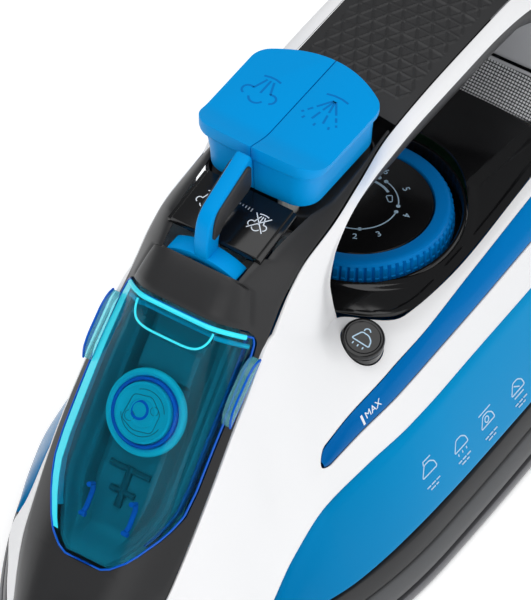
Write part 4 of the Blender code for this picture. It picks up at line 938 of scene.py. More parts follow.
def build_filler():
    grid = []
    for s in np.linspace(0.985, 3.9, 60):
        half, row = min(cover_half(s), 21.0), []
        for k in np.linspace(-0.92, 0.92, 61):
            depth = 4.5 + 5.0 * (1 - smooth_step(0.66, 0.8, abs(k)))
            depth = 1.9 + (depth - 1.9) * smooth_step(0.97, 1.28, s)
            trough = 5.0 * smooth_step(1.1, 1.5, s) * smooth_step(0.40, 0.44, abs(k))
            depth += trough * (1 - smooth_step(0.56, 0.6, abs(k)))
            ridge = 1.6 * smooth_step(2.86, 2.92, s) * (1 - smooth_step(3.3, 3.36, s))
            ridge *= 1 - smooth_step(0.42, 0.46, abs(k))
            row.append(front_point(s, half * k) - FRONT_NORMAL * (depth - ridge))
        grid.append(row)
    tray = skin("filler_tray_skin", grid, TRAY_GREY, 1.2, (0, 0, 40))
    axis = FRONT_NORMAL
    base = front_point(2.5, 0.0) - axis * 7.0
    cut(tray, [plug(8.3, -6, 6, base - axis * 1.2, axis, TRAY_GREY)])
    keep(tray, "iron", "black_gloss", "filler_tray")
    neck = turned("filler_ring", [(6.0, -9.0), (8.0, -9.0), (8.0, 0.3), (11.0, 0.4), (12.2, 0.9),
                                  (12.4, 1.6),
                                  (12.1, 2.3), (11.2, 2.7), (10.4, 2.5), (9.9, 1.7), (9.2, 1.6), (8.9, 2.2),
                                  (8.6, 3.3), (8.1, 3.6), (6.6, 3.6), (6.1, 3.2), (6.0, -9.0)], base, axis,
                  CYAN, 96)
    keep(neck, "iron", "cyan_plastic", "filler_neck")
    seal = turned("filler_seal", [(9.0, 1.75), (9.9, 1.75), (10.0, 3.4), (9.5, 3.8), (9.0, 3.4),
                                  (9.0, 1.75)],
                  base, axis, RING_BLUE, 96)
    keep(seal, "iron", "bright_blue")
    flap = turned("filler_flap", [(0, -4.0), (5.4, -4.0), (5.6, -3.6), (5.6, 3.3), (5.8, 3.65), (8.5, 3.65),
                                  (8.7, 3.8), (8.6, 4.1), (7.9, 4.2), (7.6, 4.0), (4.2, 4.0), (4.0, 4.15),
                                  (3.6, 4.15),
                                  (3.4, 4.0), (0, 4.0)], base, axis, VALVE_TEAL, 96)
    keep(flap, "iron", "bright_blue", "filler_valve")
    top = flat_place(base + axis * 4.03, (1, 0, 0), (0, 0.62, 0.78))
    frame_line = rounded([(-5.6, -3.6), (-1.0, -5.6), (4.6, -4.4), (5.2, 1.6), (1.2, 5.2), (-4.4, 4.0)], 1.2,
                         4)
    shapes = [ribbon(fine_line(frame_line + [frame_line[0]]), 0.26),
              ribbon(arc(-3.4, -2.2, 1.5, 0, 360, 20), 0.22), ribbon(arc(3.2, 1.8, 1.2, 0, 360, 20), 0.22),
              ribbon(arc(0, 0, 6.6, 200, 340, 24), 0.24), ribbon(arc(0, 0, 6.6, 20, 120, 20), 0.24)]
    keep(mark("filler_flap_lines", shapes, top, TRAY_GREY, 0.05), "iron", "bright_blue")
    keep(mark("filler_flap_ring", [ribbon(arc(-1.2, 0.4, 2.5, 0, 360, 40), 0.75)], top, RING_BLUE, 0.12),
         "iron",
         "bright_blue")
    place = flat_place(base - axis * 1.6, (1, 0, 0), (0, 0.62, 0.78))
    for name, y, half in (("low", -17.6, 6.5), ("lower", -24.2, 4.0)):
        bar = rod(f"filler_bar_{name}", [place(x, y, -0.6) for x in np.linspace(-half, half, 9)], 0.9,
                  TRAY_DARK)
        keep(bar, "iron", "black_gloss")
    stem = rod("filler_bar_stem", [place(0, y, -0.6) for y in np.linspace(-28.5, -16.6, 8)], 1.1, TRAY_DARK)
    keep(stem, "iron", "black_gloss")


# ---------------------------------------------------------------- grip, liner and rear
def along_edge(edge_points, params):
    """Running length along a cubic edge at each parameter."""
    pts = [cubic(edge_points, s) for s in params]
    out = [0.0]
    for a, b in zip(pts, pts[1:]):
        out.append(out[-1] + float(np.linalg.norm((b - a)[1:])))
    return out


def lattice_height(x, run, side=4.8):
    """1 on the lines of a triangular lattice, 0 between them."""
    pitch = side * math.sqrt(3) / 2
    best = 9.0
    for angle in (0, 60, 120):
        a = math.radians(angle)
        d = (-math.sin(a) * x + math.cos(a) * run) / pitch
        best = min(best, abs(d - round(d)) * pitch)
    return 1.0 - smooth_step(0.14, 0.42, best)


def in_pattern(x, run, half, length, side=4.8):
    """Whether the lattice triangle holding this point belongs to the pattern."""
    pitch = side * math.sqrt(3) / 2
    row = math.floor(run / pitch)
    v = run / pitch - row
    column = x / side - run / pitch / 2
    u = column - math.floor(column)
    third = 1 / 3 if u + v < 1 else 2 / 3
    cx = (math.floor(column) + third + (row + third) / 2) * side
    cy = (row + third) * pitch
    wedge = 4.0 + 7.0 * max(0.0, (abs(cx) - 7.0) / 8.0)
    return abs(cx) < half - 4.0 and wedge < cy < length - 7.0


def build_grip():
    params = np.linspace(9.14, 12.72, 300)
    runs = along_edge(RIM_A, params)
    shares = np.linspace(-1, 1, 117)
    grid = []
    for s, run in zip(params, runs):
        edge = cubic(RIM_A, s)
        tangent = cubic(RIM_A, min(s + 0.1, 16.0)) - cubic(RIM_A, s - 0.1)
        up = np.array([0.0, -tangent[2], tangent[1]])
        up /= np.linalg.norm(up)
        half = edge[0] - 0.5
        row = []
        for q in shares:
            x = half * q
            line = 0.0
            if abs(x) < half - 2.6 and 2.0 < run < runs[-1] - 3.0:
                around = ((0.35, 0), (-0.35, 0), (0, 0.35), (0, -0.35))
                if any(in_pattern(x + dx, run + dy, half, runs[-1]) for dx, dy in around):
                    line = lattice_height(x, run)
            row.append(np.array([x, edge[1], edge[2]]) + up * (1.7 * (1 - q * q) + 0.3 * line))
        grid.append(row)
    pad = skin("grip_skin", grid, RUBBER, 1.0, (0, 55, 100), bevel=0.0)
    keep(pad, "iron", "grip_rubber", "grip_pad")


def build_liner():
    grid = []
    for s in np.linspace(0.3, 9.9, 90):
        edge = cubic(RIM_B, s)
        tangent = cubic(RIM_B, s + 0.1) - cubic(RIM_B, s - 0.1)
        out = np.array([0.0, tangent[2], -tangent[1]])
        out /= np.linalg.norm(out)
        depth = float(np.interp(s, [0, 2, 3.5, 5, 6.5, 8, 9, 10], [4, 7, 9, 13, 19, 20, 17, 10]))
        start = float(np.interp(s, [0, 3, 4.5, 8.5, 10], [-0.4, 0.0, 2.3, 2.3, 1.0]))
        row = []
        for k in range(33):
            a = math.pi * k / 32
            x = -math.cos(a) * (edge[0] - 2.3)
            groove = 0.5 * (1 - smooth_step(0.6, 1.6, abs(abs(x) - 12.0)))
            row.append(np.array([x, edge[1], edge[2]]) + out * (depth * math.sin(a) ** 0.8 + start - groove))
        grid.append(row)
    keep(skin("handle_liner_skin", grid, DARK, 1.5, (0, 40, 150)), "iron", "dark_plastic",
         "handle_liner")


def build_rear():
    # Painted shade: the rear post's face under the handle is white plastic given a light grey for the shade
    # it sits in; the rod on the lens's upper edge takes the same grey.
    grid = []
    for s in np.linspace(10.05, 12.3, 24):
        edge = cubic(RIM_B, s)
        grid.append([np.array([(edge[0] - 2.4) * q, edge[1] - 1.2 * (1 - q * q), edge[2]])
                     for q in np.linspace(-1, 1, 33)])
    keep(skin("rear_panel_skin", grid, SILVER_AND_SHADE, 1.4, (0, 130, 90), bevel=0.5), "iron", "silver_plastic",
         "rear_panel")
    grid = []
    lens = ((94.4, 90.5, 86.0, 84.4), (82.6, 79.6, 76.6, 75.6), (28.6, 29.0, 29.4, 29.6))
    for k in range(11):
        y, z, half = (float(np.interp(k, [0, 4, 9, 10], row)) for row in lens)
        grid.append([np.array([half * q, y - 0.8 * (1 - q * q), z + 0.6 * (1 - q * q)])
                     for q in np.linspace(-1, 1, 41)])
    keep(skin("indicator_lens_skin", grid, LENS, 1.4, (0, 120, 60), bevel=0.35), "iron", "clear_lens",
         "indicator_lens")
    edge = [(x * 0.98, 94.3 - 0.8 * (1 - (x / 29) ** 2), 83.4) for x in np.linspace(-28, 28, 33)]
    keep(rod("indicator_edge", edge, 0.5, SILVER_AND_SHADE), "iron", "silver_plastic")

    params = [12.5, 12.6, 12.7, 12.76, 12.79] + list(np.linspace(12.81, 15.95, 46))
    edges = [cubic(RIM_A, s) for s in params] + [side_point(11.0, v) for v in np.linspace(4.7, 0.05, 40)]
    grid = []
    for k, e in enumerate(edges):
        bulge = float(np.interp(e[2], [22, 32, 50, 80, 105, 116], [0.6, 6.0, 9.5, 7.5, 5.0, 2.2]))
        if k < 5:
            bulge -= 3.2
        row = []
        for q in np.linspace(-1, 1, 61):
            x = (e[0] - 1.9) * q
            groove = 0.7 * (1 - smooth_step(0.0, 1.2, abs(abs(x) - 17.0) - 0.2))
            groove *= 1 - smooth_step(88, 92, e[2])
            row.append(np.array([x, e[1] + 0.4 + bulge * (1 - q**4) - groove, e[2]]))
        grid.append(row)
    back = skin("back_skin", grid, DARK, 1.6, (0, 60, 70))
    cut(back, [plug(8.6, -14, 30, CORD_BALL, CORD_AXIS, DARK, 64)])
    keep(back, "iron", "dark_plastic", "back_cover")
    ball = turned("cord_inlet", [(0, -8.0), (4.0, -7.4), (6.6, -4.8), (7.8, -1.8), (8.0, 0), (7.8, 1.6),
                                 (7.0, 3.4),
                                 (6.0, 4.6), (5.7, 5.6), (5.7, 6.6), (5.2, 6.8), (5.2, 7.6), (5.7, 7.8),
                                 (5.6, 9.4), (4.9, 10.1), (3.9, 10.2), (3.6, 9.8), (3.6, 3.0), (0, 3.0)],
                  CORD_BALL, CORD_AXIS, RUBBER, 64)
    keep(ball, "cord_swivel", "grip_rubber", "cord_ball")
    for label, sign in (("right", -1), ("left", 1)):
        foot = turned(f"heel_rest_{label}", [(0, 0), (4.0, 0), (4.0, 2.0), (3.6, 2.8), (2.9, 3.2),
                                             (2.2, 3.1),
                                             (1.9, 2.7), (0, 2.7)], (sign * HEEL_FOOT[0], *HEEL_FOOT[1:]),
                      (0, 1, 0), RUBBER, 48)
        keep(foot, "iron", "grip_rubber", f"heel_foot_{label}")


# ---------------------------------------------------------------- saddle and dial
def build_saddle():
    stations = [(-7.8, 16.5, 76.6, 75.6), (-4.6, 21.0, 76.3, 74.0), (0.0, 27.0, 76.2, 72.4),
                (6.0, 31.8, 76.0, 71.2), (16.0, 34.0, 75.8, 70.6), (32.0, 34.3, 75.6, 70.3),
                (50.0, 33.9, 75.6, 70.7), (66.0, 33.3, 75.7, 71.4), (83.6, 32.6, 76.0, 72.6)]
    grid = []
    for t in np.linspace(0, len(stations) - 1, 150):
        y, half, crown, edge = cubic(np.array(stations), t)
        row = []
        for q in np.sin(np.linspace(-math.pi / 2, math.pi / 2, 97)):
            x = half * q
            fall = max(0.0, (abs(q) - 0.3) / 0.7) ** 2
            z = edge + (crown - edge) * (1 - fall)
            away = math.hypot(x, y - 32.0)
            lip = 0.55 * (1 - smooth_step(1.4, 2.6, away - WELL_R))
            raised = 0.7 * (1 - smooth_step(0.0, 1.8, abs(x) - (21.0 + 0.1 * (y - 52))))
            raised *= smooth_step(50, 56, y)
            bead = 0.35 * (1 - smooth_step(0.5, 1.2, abs(half - abs(x) - 1.3)))
            row.append((x, y, z + max(lip, raised) + bead))
        grid.append(row)
    saddle = skin("saddle_skin", grid, GLOSS, 1.5, (0, 40, 40))
    well = turned("well_cut", [(0, -30), (WELL_R, -30), (WELL_R, 4.6), (WELL_R + 1.4, 7.6),
                               (WELL_R + 1.4, 30),
                               (0, 30)], (0, 32.0, 70), (0, 0, 1), GLOSS, 128)
    cut(saddle, [well])
    keep(saddle, "iron", "black_gloss", "saddle")
    r = WELL_R - 0.15
    seat = turned("dial_well", [(4.2, 62.6), (r - 1.8, 62.6), (r, 64.0), (r, 73.0), (r - 0.4, 73.6),
                                (r - 1.0, 73.6),
                                (r - 1.4, 73.0), (r - 1.8, 64.9), (r - 2.4, 64.4), (4.2, 64.4), (4.2, 62.6)],
                  (0, 32.0, 0), (0, 0, 1), GLOSS, 128)
    keep(seat, "iron", "black_gloss", "dial_seat")


def build_dial():
    h = -DIAL_RING_H
    def ribs(a, radius, height):
        if radius < DIAL_RING_R - 2.2 or height > -1.2:
            return 0.0
        wave = 0.5 + 0.5 * math.cos(72 * a)
        return -0.95 * (1 - min(1.0, wave * 1.9) ** 0.6)
    inner = DIAL_FACE_R + 0.15
    profile = [(inner, h), (DIAL_RING_R - 0.6, h), (DIAL_RING_R - 0.1, h + 0.5), (DIAL_RING_R, h + 1.2),
               (DIAL_RING_R - 0.1, h + 3.6), (DIAL_RING_R - 0.45, h + 3.9), (DIAL_RING_R - 0.55, -1.9),
               (DIAL_RING_R - 1.0, -1.3), (DIAL_RING_R - 1.1, -1.1), (DIAL_RING_R - 1.5, -0.35),
               (DIAL_RING_R - 2.1, -0.05), (DIAL_RING_R - 2.8, 0.0), (inner + 0.7, 0.0),
               (inner + 0.25, -0.1),
               (inner, -0.5), (inner, h)]
    ring = turned("dial_grip", profile, DIAL_CENTRE, DIAL_AXIS, DIAL_BLUE, 864, ribs)
    keep(ring, "dial", "bright_blue", "dial_ring")
    r = DIAL_FACE_R - 0.15
    face = turned("dial_disc", [(0, h + 1.0), (r, h + 1.0), (r, -0.75), (r - 0.25, -0.45), (r - 0.6, -0.35),
                                (0, -0.3)], DIAL_CENTRE, DIAL_AXIS, PLATE, 144)
    keep(face, "dial", "black_gloss", "dial_face")
    shaft = turned("dial_spindle", [(0, -46.0), (2.6, -46.0), (3.0, -45.6), (3.0, h + 0.6), (0, h + 0.6)],
                   DIAL_CENTRE, DIAL_AXIS, BRASS, 32)
    keep(shaft, "dial", "brass", "dial_shaft")

    origin = np.array(DIAL_CENTRE) + np.array(DIAL_AXIS) * -0.3
    up = np.array([0.0, DIAL_AXIS[2], -DIAL_AXIS[1]])
    place = flat_place(origin, (1, 0, 0), up)
    shapes = [ribbon(arc(0, 0, 11.5, 24.7, 79.0, 30), 0.34), ribbon(arc(0, 0, 11.5, 12.7, -118.0, 60), 0.34)]
    for angle in (91.0, 79.0, 24.7, 12.7, -54.0, -118.0, -170.0):
        a = math.radians(angle)
        dot = arc(11.5 * math.cos(a), 11.5 * math.sin(a), 0.62, 0, 340, 17)
        shapes.append((dot, [tuple(range(len(dot)))]))
    shapes.append(ribbon(arc(0, 0, 11.5, 91.0, 190.0, 50), 0.34))
    shapes.append(ribbon(arc(0, 0, 9.4, 57.7, 130.0, 36), 0.75))
    a = math.radians(41.0)
    out, side = np.array([math.cos(a), math.sin(a)]), np.array([-math.sin(a), math.cos(a)])
    tip = [out * 9.1 + side * s + out * o
           for s, o in ((1.3, -0.9), (1.3, 0.9), (-1.3, 0.55), (-1.3, -0.55))]
    shapes.append(ribbon(rounded([tuple(p) for p in tip], 0.5, 3), 0.28, closed=True))
    for number, angle in ((6, 90.0), (5, 55.0), (4, 12.0), (3, -33.0), (2, -60.0), (1, -118.0)):
        points, polygons = lettering(str(number), 3.0)
        a = math.radians(angle)
        turn = a - math.pi / 2 if angle > 0 else a + math.pi / 2
        c, s = math.cos(turn), math.sin(turn)
        centre = np.array([math.cos(a), math.sin(a)]) * 14.6
        shapes.append(([centre + np.array([p[0] * c - p[1] * s, p[0] * s + p[1] * c]) for p in points],
                       polygons))
    keep(mark("dial_scale", shapes, place, PRINT_SOFT, 0.04), "dial", "white_shell")


# ---------------------------------------------------------------- buttons, panel and lever
def steam_icon(scale, crossed=False):
    """Generic steam sign: bar, three rays and a cloud, as lines about 11 units tall."""
    lines = [[(-3.0, 5.3), (-1.0, 5.8), (1.0, 5.8), (3.0, 5.3)], [(-1.2, 4.4), (-3.0, -0.6)],
             [(0, 4.5), (0, -1.4)],
             [(1.2, 4.4), (3.0, -0.6)]]
    lines.append(arc(-3.9, -2.2, 1.9, 60, 250, 12))
    lines.append(arc(0.0, -3.4, 2.5, 200, 340, 12))
    lines.append(arc(3.9, -2.2, 1.9, -70, 120, 12))
    if crossed:
        lines += [[(-5.0, 5.2), (5.0, -5.8)], [(5.0, 5.2), (-5.0, -5.8)]]
    return [[(x * scale, y * scale) for x, y in line] for line in lines]


def spray_icon(scale):
    lines = [[(-3.4, 5.6), (-1.2, 6.1), (1.2, 6.1), (3.4, 5.6)]]
    for angle, spans in ((-33, ((0.6, 5.6), (6.6, 8.2), (9.2, 10.0))), (-11, ((0.6, 5.0), (6.0, 9.2))),
                         (11, ((0.6, 5.0), (6.0, 9.2))), (33, ((0.6, 5.6), (6.6, 8.2), (9.2, 10.0)))):
        a = math.radians(angle)
        for low, high in spans:
            lines.append([(math.sin(a) * low, 5.0 - math.cos(a) * low),
                          (math.sin(a) * high, 5.0 - math.cos(a) * high)])
    for angle in (-22, 0, 22):
        a = math.radians(angle)
        lines.append([(math.sin(a) * 10.0, 5.0 - math.cos(a) * 10.0),
                      (math.sin(a) * 11.0, 5.0 - math.cos(a) * 11.0)])
    return [[(x * scale, y * scale) for x, y in line] for line in lines]


def button_loop(sign, z, grow):
    """Plan loop of one button; the inner edge is the seam between the two."""
    seam, half, corner, crown = 0.16, 17.6 + grow, 6.8, 0.0192
    front, rear = -19.6 - grow * 0.55, 19.4 + grow * 0.4
    pts = [(x, front - 0.9 * (1 - (x / half) ** 2)) for x in np.linspace(seam, half - corner, 9)]
    first = pts[-1][1]
    for k in range(1, 13):
        a = math.radians(-90 + 90 * k / 12)
        pts.append((half - corner + corner * math.cos(a), first + corner + corner * math.sin(a)))
    sweep = math.radians(58)
    for _ in range(3):
        meet = half - corner + corner * math.cos(sweep)
        sweep = math.atan(1 / (2 * crown * meet))
    side_y = rear - crown * meet**2 - corner * math.sin(sweep)
    for k in range(13):
        a = sweep * k / 12
        pts.append((half - corner + corner * math.cos(a), side_y + corner * math.sin(a)))
    pts += [(x, rear - crown * x * x) for x in np.linspace(meet, seam, 12)[1:]]
    return [(x * sign, y, z) for x, y in pts]


def build_buttons():
    for label, sign in (("steam", -1), ("spray", 1)):
        loops = [button_loop(sign, BUTTON_FOOT + rise, grow) for rise, grow in
                 ((0.0, 0.0), (4.5, 0.25), (9.0, 0.8), (11.8, 1.3), (12.4, 1.5), (12.7, 2.3), (13.2, 2.8),
                  (13.8, 2.95),
                  (22.0, 2.95))]
        body = loft(f"{label}_key", loops, BUTTON_BLUE)
        sweep = [(30, BUTTON_TOP)] + [(-12.0 - 10.6 * t, BUTTON_TOP + 2.8 * t * t * (2 - t)) for t in
                                      np.linspace(0, 1, 12)] + [(-34, 144.4), (-34, 170), (30, 170)]
        above = loft("above", [[(x, y, z) for y, z in sweep] for x in (-40, 40)], BUTTON_BLUE)
        cut(body, [above])
        add_bevel(body, 0.7, 3, 40.0)
        settle(body)
        keep(body, f"{label}_key", "bright_blue", f"{label}_button")
        icon = steam_icon(0.92) if sign < 0 else spray_icon(1.05)
        centre = (-10.6, 0.0) if sign < 0 else (8.4, 2.6)
        place = flat_place((centre[0], centre[1], BUTTON_TOP), (1, 0, 0), (0, 1, 0))
        shapes = [ribbon(fine_line(line), 0.66) for line in icon]
        keep(mark(f"{label}_sign", shapes, place, ICON_BLUE, 0.03), f"{label}_key", "bright_blue")


def build_panel():
    slope = np.array([0.0, 18.2, 2.7]) / math.hypot(18.2, 2.7)
    loops = []
    for x, drop in ((-15.3, 0.8), (-14.2, 0.7), (-13.9, 0.0), (13.9, 0.0), (14.2, 0.7), (15.3, 0.8)):
        loops.append([(x, -40.4, 122.0 - drop * 0.3), (x, -40.4, 124.2 - drop), (x, -22.0, 126.9 - drop),
                      (x, -22.0, 124.9 - drop * 0.3)])
    plate = loft("control_plate", loops, PLATE, 0.35)
    keep(plate, "iron", "black_gloss", "control_panel")
    for name, centre, icon in (("steam", (-8.6, -30.5), steam_icon(0.5)),
                               ("dry", (8.2, -30.2), steam_icon(0.5, True))):
        height = 124.2 + (centre[1] + 40.2) * 2.7 / 18.2
        place = flat_place((centre[0], centre[1], height), (1, 0, 0), slope)
        keep(mark(f"lever_sign_{name}", [ribbon(fine_line(line), 0.3) for line in icon], place, PRINT, 0.05),
             "iron", "white_shell")
    height = 124.2 + (-28.0 + 40.2) * 2.7 / 18.2
    place = flat_place((0, -28.0, height), (1, 0, 0), slope)
    dashes = []
    for k in range(-4, 5):
        length = 0.5 + 0.16 * abs(k)
        dashes.append(ribbon([(k * 1.0, 1.0 - length), (k * 1.0, 1.0)], 0.32))
    keep(mark("lever_scale", dashes, place, PRINT_GREY, 0.05), "iron", "white_shell")
    # Painted shade: a dark wall hung below the edge of the keys' opening, so that the gaps round the keys
    # read as shadow.
    wall = []
    for grow, z in ((1.35, 117.0), (1.35, 123.2), (0.55, 123.2), (0.55, 117.0)):
        rim = mirrored([(x, y) for x, y, _ in button_loop(1, 0, grow)])
        wall.append([(x, y, z) for x, y in rim])
    keep(loft("key_well", wall, DARK, 0.0, ring=True), "iron", "dark_plastic")
    outline = mirrored([(x, y) for x, y, _ in button_loop(1, 0, -0.2)])
    tray = loft("button_floor", [[(x, y, z) for x, y in outline] for z in (119.6, 121.4)], DARK, 0.2)
    cut(tray, [plug(3.4, -5, 5, (x, PLUNGER_Y, 120.5), (0, 0, 1), DARK, 32)
               for x in (-PLUNGER_X, PLUNGER_X)])
    keep(tray, "iron", "dark_plastic", "button_tray")


def build_lever():
    y0, y1 = LEVER_Y
    sector = [(DRUM_R * math.sin(a), DRUM_R * math.cos(a)) for a in np.radians(np.linspace(-31, 31, 40))]
    inner = [((DRUM_R - 2.6) * x / DRUM_R, (DRUM_R - 2.6) * z / DRUM_R) for x, z in reversed(sector)]
    drum = loft("lever_drum", [[(x, y, LEVER_AXIS_Z + z) for x, z in sector + inner] for y in (y0, y1)],
                LEVER_BLUE, 0.5)
    fin = rounded([(-46.8, 120.6), (-47.4, 127.0), (-45.6, 136.4), (-25.4, 144.6), (-24.5, 142.6),
                   (-24.5, 133.0),
                   (-26.2, 131.4), (-39.2, 129.5), (-41.2, 125.6), (-41.2, 120.6)],
                  [0, 3.0, 4.5, 1.4, 1.0, 1.4, 1.6, 3.2, 3.0, 0], 8)
    stem = loft("fin", [[(x, y, z) for y, z in fin] for x in (-2.3, 2.3)], LEVER_BLUE, 0.7, segments=3)
    foot_z = LEVER_AXIS_Z - 3.4
    section = ((y0 + 0.6, foot_z), (y0 + 0.6, 121.2), (y1 - 0.6, 121.2), (y1 - 0.6, foot_z))
    web = loft("web", [[(x, y, z) for y, z in section] for x in (-3.4, 3.4)], LEVER_BLUE, 0.3)
    cut(web, [plug(1.7, -20, 20, (0, -44, LEVER_AXIS_Z), (0, 1, 0), LEVER_BLUE, 32)])
    merge(drum, [stem, web])
    settle(drum)
    keep(drum, "lever", "bright_blue", "steam_lever")
    pad = rounded([(-44.8, 128.0), (-44.2, 133.2), (-42.6, 136.6), (-27.6, 142.2), (-26.2, 141.4),
                   (-26.1, 134.6),
                   (-27.4, 133.0), (-39.6, 131.2), (-41.8, 128.4)],
                  [1.0, 2.0, 2.4, 1.0, 0.8, 1.2, 1.2, 2.2, 1.2], 6)
    for label, sign in (("left", 1), ("right", -1)):
        piece = across(f"lever_grip_{label}", pad, sign * 2.2, sign * 3.1, RUBBER, 0.3)
        keep(piece, "lever", "grip_rubber", f"lever_pad_{label}")


# ---------------------------------------------------------------- small pieces on the body
def build_clean_button():
    r = CLEAN_R
    button = turned("clean_cap", [(0, -3.2), (r, -3.2), (r, 1.2), (r - 0.25, 1.4), (r - 0.25, 1.7), (r, 1.9),
                                  (r, 2.9), (r - 0.25, 3.4),
                                  (r - 0.8, 3.65), (r - 1.3, 3.6), (r - 1.5, 3.45), (0, 3.55)], CLEAN_POS,
                    CLEAN_AXIS,
                    GLOSS, 72)
    keep(button, "clean_key", "black_gloss", "self_clean_button")
    axis = np.array(CLEAN_AXIS) / np.linalg.norm(CLEAN_AXIS)
    right = np.array([1.0, 0.0, 0.0]) - axis * axis[0]
    up = np.cross(axis, right)
    place = flat_place(np.array(CLEAN_POS) + axis * 3.5, right, up)
    shapes = []
    body = rounded([(-2.7, -1.8), (2.9, -1.8), (2.4, 0.2), (1.0, 1.3), (-1.2, 1.3)], 0.6, 4)
    shapes.append(ribbon(fine_line(body + [body[0]]), 0.36))
    for x in (-1.6, 0.0, 1.6):
        shapes.append(ribbon([(x, -2.6), (x, -3.3)], 0.34))
    shapes.append(ribbon(arc(0, 2.1, 0.9, 20, 200, 10), 0.34))
    keep(mark("clean_sign", shapes, place, PRINT_SOFT, 0.06), "clean_key", "white_shell")
    nozzle = turned("nozzle_tip", [(0, -7.0), (3.2, -7.0), (3.2, 0.4), (4.4, 0.6), (4.6, 1.0), (4.6, 1.5),
                                   (4.3, 2.0),
                                   (3.4, 2.4), (1.6, 2.4), (1.1, 2.1), (0.8, 1.2), (0, 1.2)], NOZZLE_POS,
                    NOZZLE_AXIS,
                    SILVER_AND_SHADE, 64)
    keep(nozzle, "iron", "silver_plastic", "spray_nozzle")


def garment_icon(kind):
    """Generic pictograms for the side panel, about 5.3 units across."""
    body = rounded([(-2.6, -1.2), (2.6, -1.2), (2.2, 0.4), (0.9, 1.4), (-1.0, 1.4)], 0.5, 4)
    lines = [body + [body[0]]]
    if kind == 0:
        lines += [[(-1.2, 1.4), (-1.0, 2.3), (1.6, 2.3)]]
    if kind == 1:
        lines += [[(x, -1.9), (x, -2.5)] for x in (-1.5, 0, 1.5)]
    if kind == 2:
        lines += [[(-2.3, 2.2), (2.3, 2.2)], arc(0, 0.0, 0.7, 0, 360, 12)]
    if kind == 3:
        lines += [[(-1.8, -2.2), (1.8, -2.2)], [(-0.9, 0.6), (0.9, -0.6)]]
    return lines


def build_marks():
    place = side_place(5.22, 2.5)
    keep(mark("level_bar", [ribbon(fine_line([(0, -1.5), (0, 1.5)]), 0.75)],
              lambda x, y, lift: place(x, y, lift + 0.13), PRINT, 0.06), "iron", "white_shell")
    place_text = side_place(5.46, 2.54)
    keep(mark("level_word", [lettering("MAX", 3.0)], lambda x, y, lift: place_text(x, y, lift + 0.13), PRINT,
              0.06), "iron",
         "white_shell")
    for k, (u, v) in enumerate(((6.02, 0.38), (6.82, 0.31), (7.43, 0.26), (8.03, 0.25))):
        place = side_place(u, v)
        shapes = [ribbon(fine_line([(x * 1.3, y * 1.3 + 0.8) for x, y in line]), 0.36)
                  for line in garment_icon(k)]
        shapes += [ribbon(fine_line([(a, y), (b, y)]), 0.34)
                   for y, spans in ((-4.3, ((-3.0, -1.4), (-0.9, 0.8), (1.3, 3.0))),
                                    (-5.5, ((-1.8, 0.2), (0.7, 1.8))))
                   for a, b in spans]
        keep(mark(f"panel_sign_{k + 1}", shapes, lambda x, y, lift, p=place: p(x, y, lift + 0.4), PRINT_SOFT,
                  0.12),
             "iron", "white_shell")


def dress_nodes():
    """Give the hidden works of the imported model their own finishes."""
    finishes = {"heater_casting": CAST, "heating_element": STEEL, "thermostat": STEEL, "lever_pin": STEEL,
                "self_clean_rod": STEEL, "water_tank": WINDOW_BLUE, "power_board": BOARD,
                "terminal_block": CREAM,
                "steam_plunger": CREAM, "spray_plunger": CREAM, "steam_pump": SILVER_AND_SHADE, "spray_pump": SILVER_AND_SHADE,
                "indicator_lamp": AMBER, "steam_valve": BRASS}
    for name, mat in finishes.items():
        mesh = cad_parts[name].data
        if not mesh.materials:
            mesh.materials.append(mat)
        for k in range(len(mesh.materials)):
            mesh.materials[k] = mat


# ---------------------------------------------------------------- studio
def area_light(name, place, target, size, power, colour=(1, 1, 1)):
    light = bpy.data.lights.new(name, "AREA")
    light.shape, light.size, light.size_y = "RECTANGLE", size[0], size[1]
    light.energy, light.color = power, colour
    obj = bpy.data.objects.new(name, light)
    bpy.context.scene.collection.objects.link(obj)
    obj.location = place
    obj.rotation_mode = "QUATERNION"
    obj.rotation_quaternion = (Vector(target) - Vector(place)).to_track_quat("-Z", "Y")
    return obj


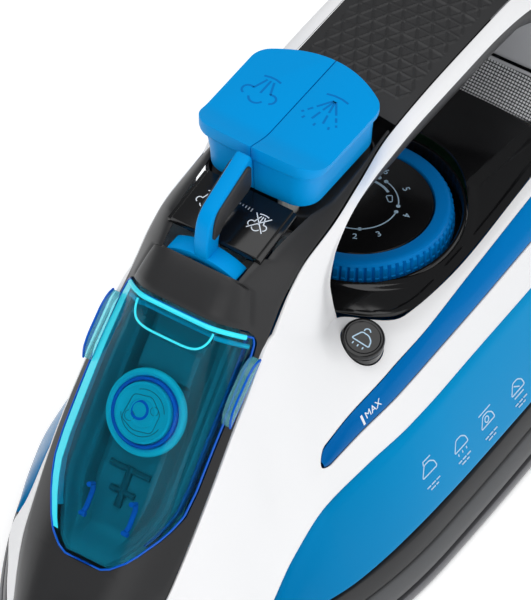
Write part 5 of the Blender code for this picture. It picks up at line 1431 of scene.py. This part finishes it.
def build_studio():
    scene = bpy.context.scene
    scene.view_settings.view_transform = "Standard"
    world = bpy.data.worlds.new("studio")
    scene.world = world
    world.use_nodes = True
    background = world.node_tree.nodes["Background"]
    background.inputs["Color"].default_value = (0.95, 0.97, 1.0, 1)
    background.inputs["Strength"].default_value = 0.30

    floor_mat = plastic("floor_paper", (0.96, 0.96, 0.96), 0.9, 0.02, 2.0, 0.004, 0.02, specular=0.1)
    glow = floor_mat.node_tree.nodes["Principled BSDF"]
    glow.inputs["Emission Color"].default_value = (1, 1, 1, 1)
    glow.inputs["Emission Strength"].default_value = 0.3
    corners = [(x * FLOOR_REACH, y * FLOOR_REACH, FLOOR_Z) for x, y in ((-1, -1), (1, -1), (1, 1), (-1, 1))]
    floor = new_piece("floor", corners, [(0, 1, 2, 3)], floor_mat)

    a, e = CAMERA_AZIMUTH, CAMERA_ELEVATION
    right = Vector((math.cos(a), math.sin(a), 0))
    back = Vector((math.sin(a) * math.cos(e), -math.cos(a) * math.cos(e), math.sin(e)))
    up = back.cross(right)
    target = Vector(DIAL_CENTRE) * MM + right * AIM_RIGHT + up * AIM_UP
    camera = bpy.data.cameras.new("camera")
    camera.lens, camera.sensor_width = CAMERA_LENS, 36.0
    camera.clip_start, camera.clip_end = 0.02, 40.0
    obj = bpy.data.objects.new("camera", camera)
    scene.collection.objects.link(obj)
    obj.location = target + back * CAMERA_DISTANCE
    obj.rotation_mode = "QUATERNION"
    obj.rotation_quaternion = (-back).to_track_quat("-Z", "Y")
    scene.camera = obj

    centre = (0, 0, 0.06)
    area_light("overhead", (0.0, -0.1, 1.5), centre, (1.5, 1.5), 15.5)
    area_light("front", (0.5, -1.3, 0.7), centre, (1.2, 0.9), 5.0)
    area_light("left", (1.3, -0.1, 0.7), centre, (1.0, 1.2), 5.0)


def main():
    build_studio()
    build_base()
    build_side(1, "left")
    build_side(-1, "right")
    build_front()
    build_cover()
    build_filler()
    build_grip()
    build_liner()
    build_rear()
    build_saddle()
    build_dial()
    build_buttons()
    build_panel()
    build_lever()
    build_clean_button()
    build_marks()
    dress_nodes()


main()
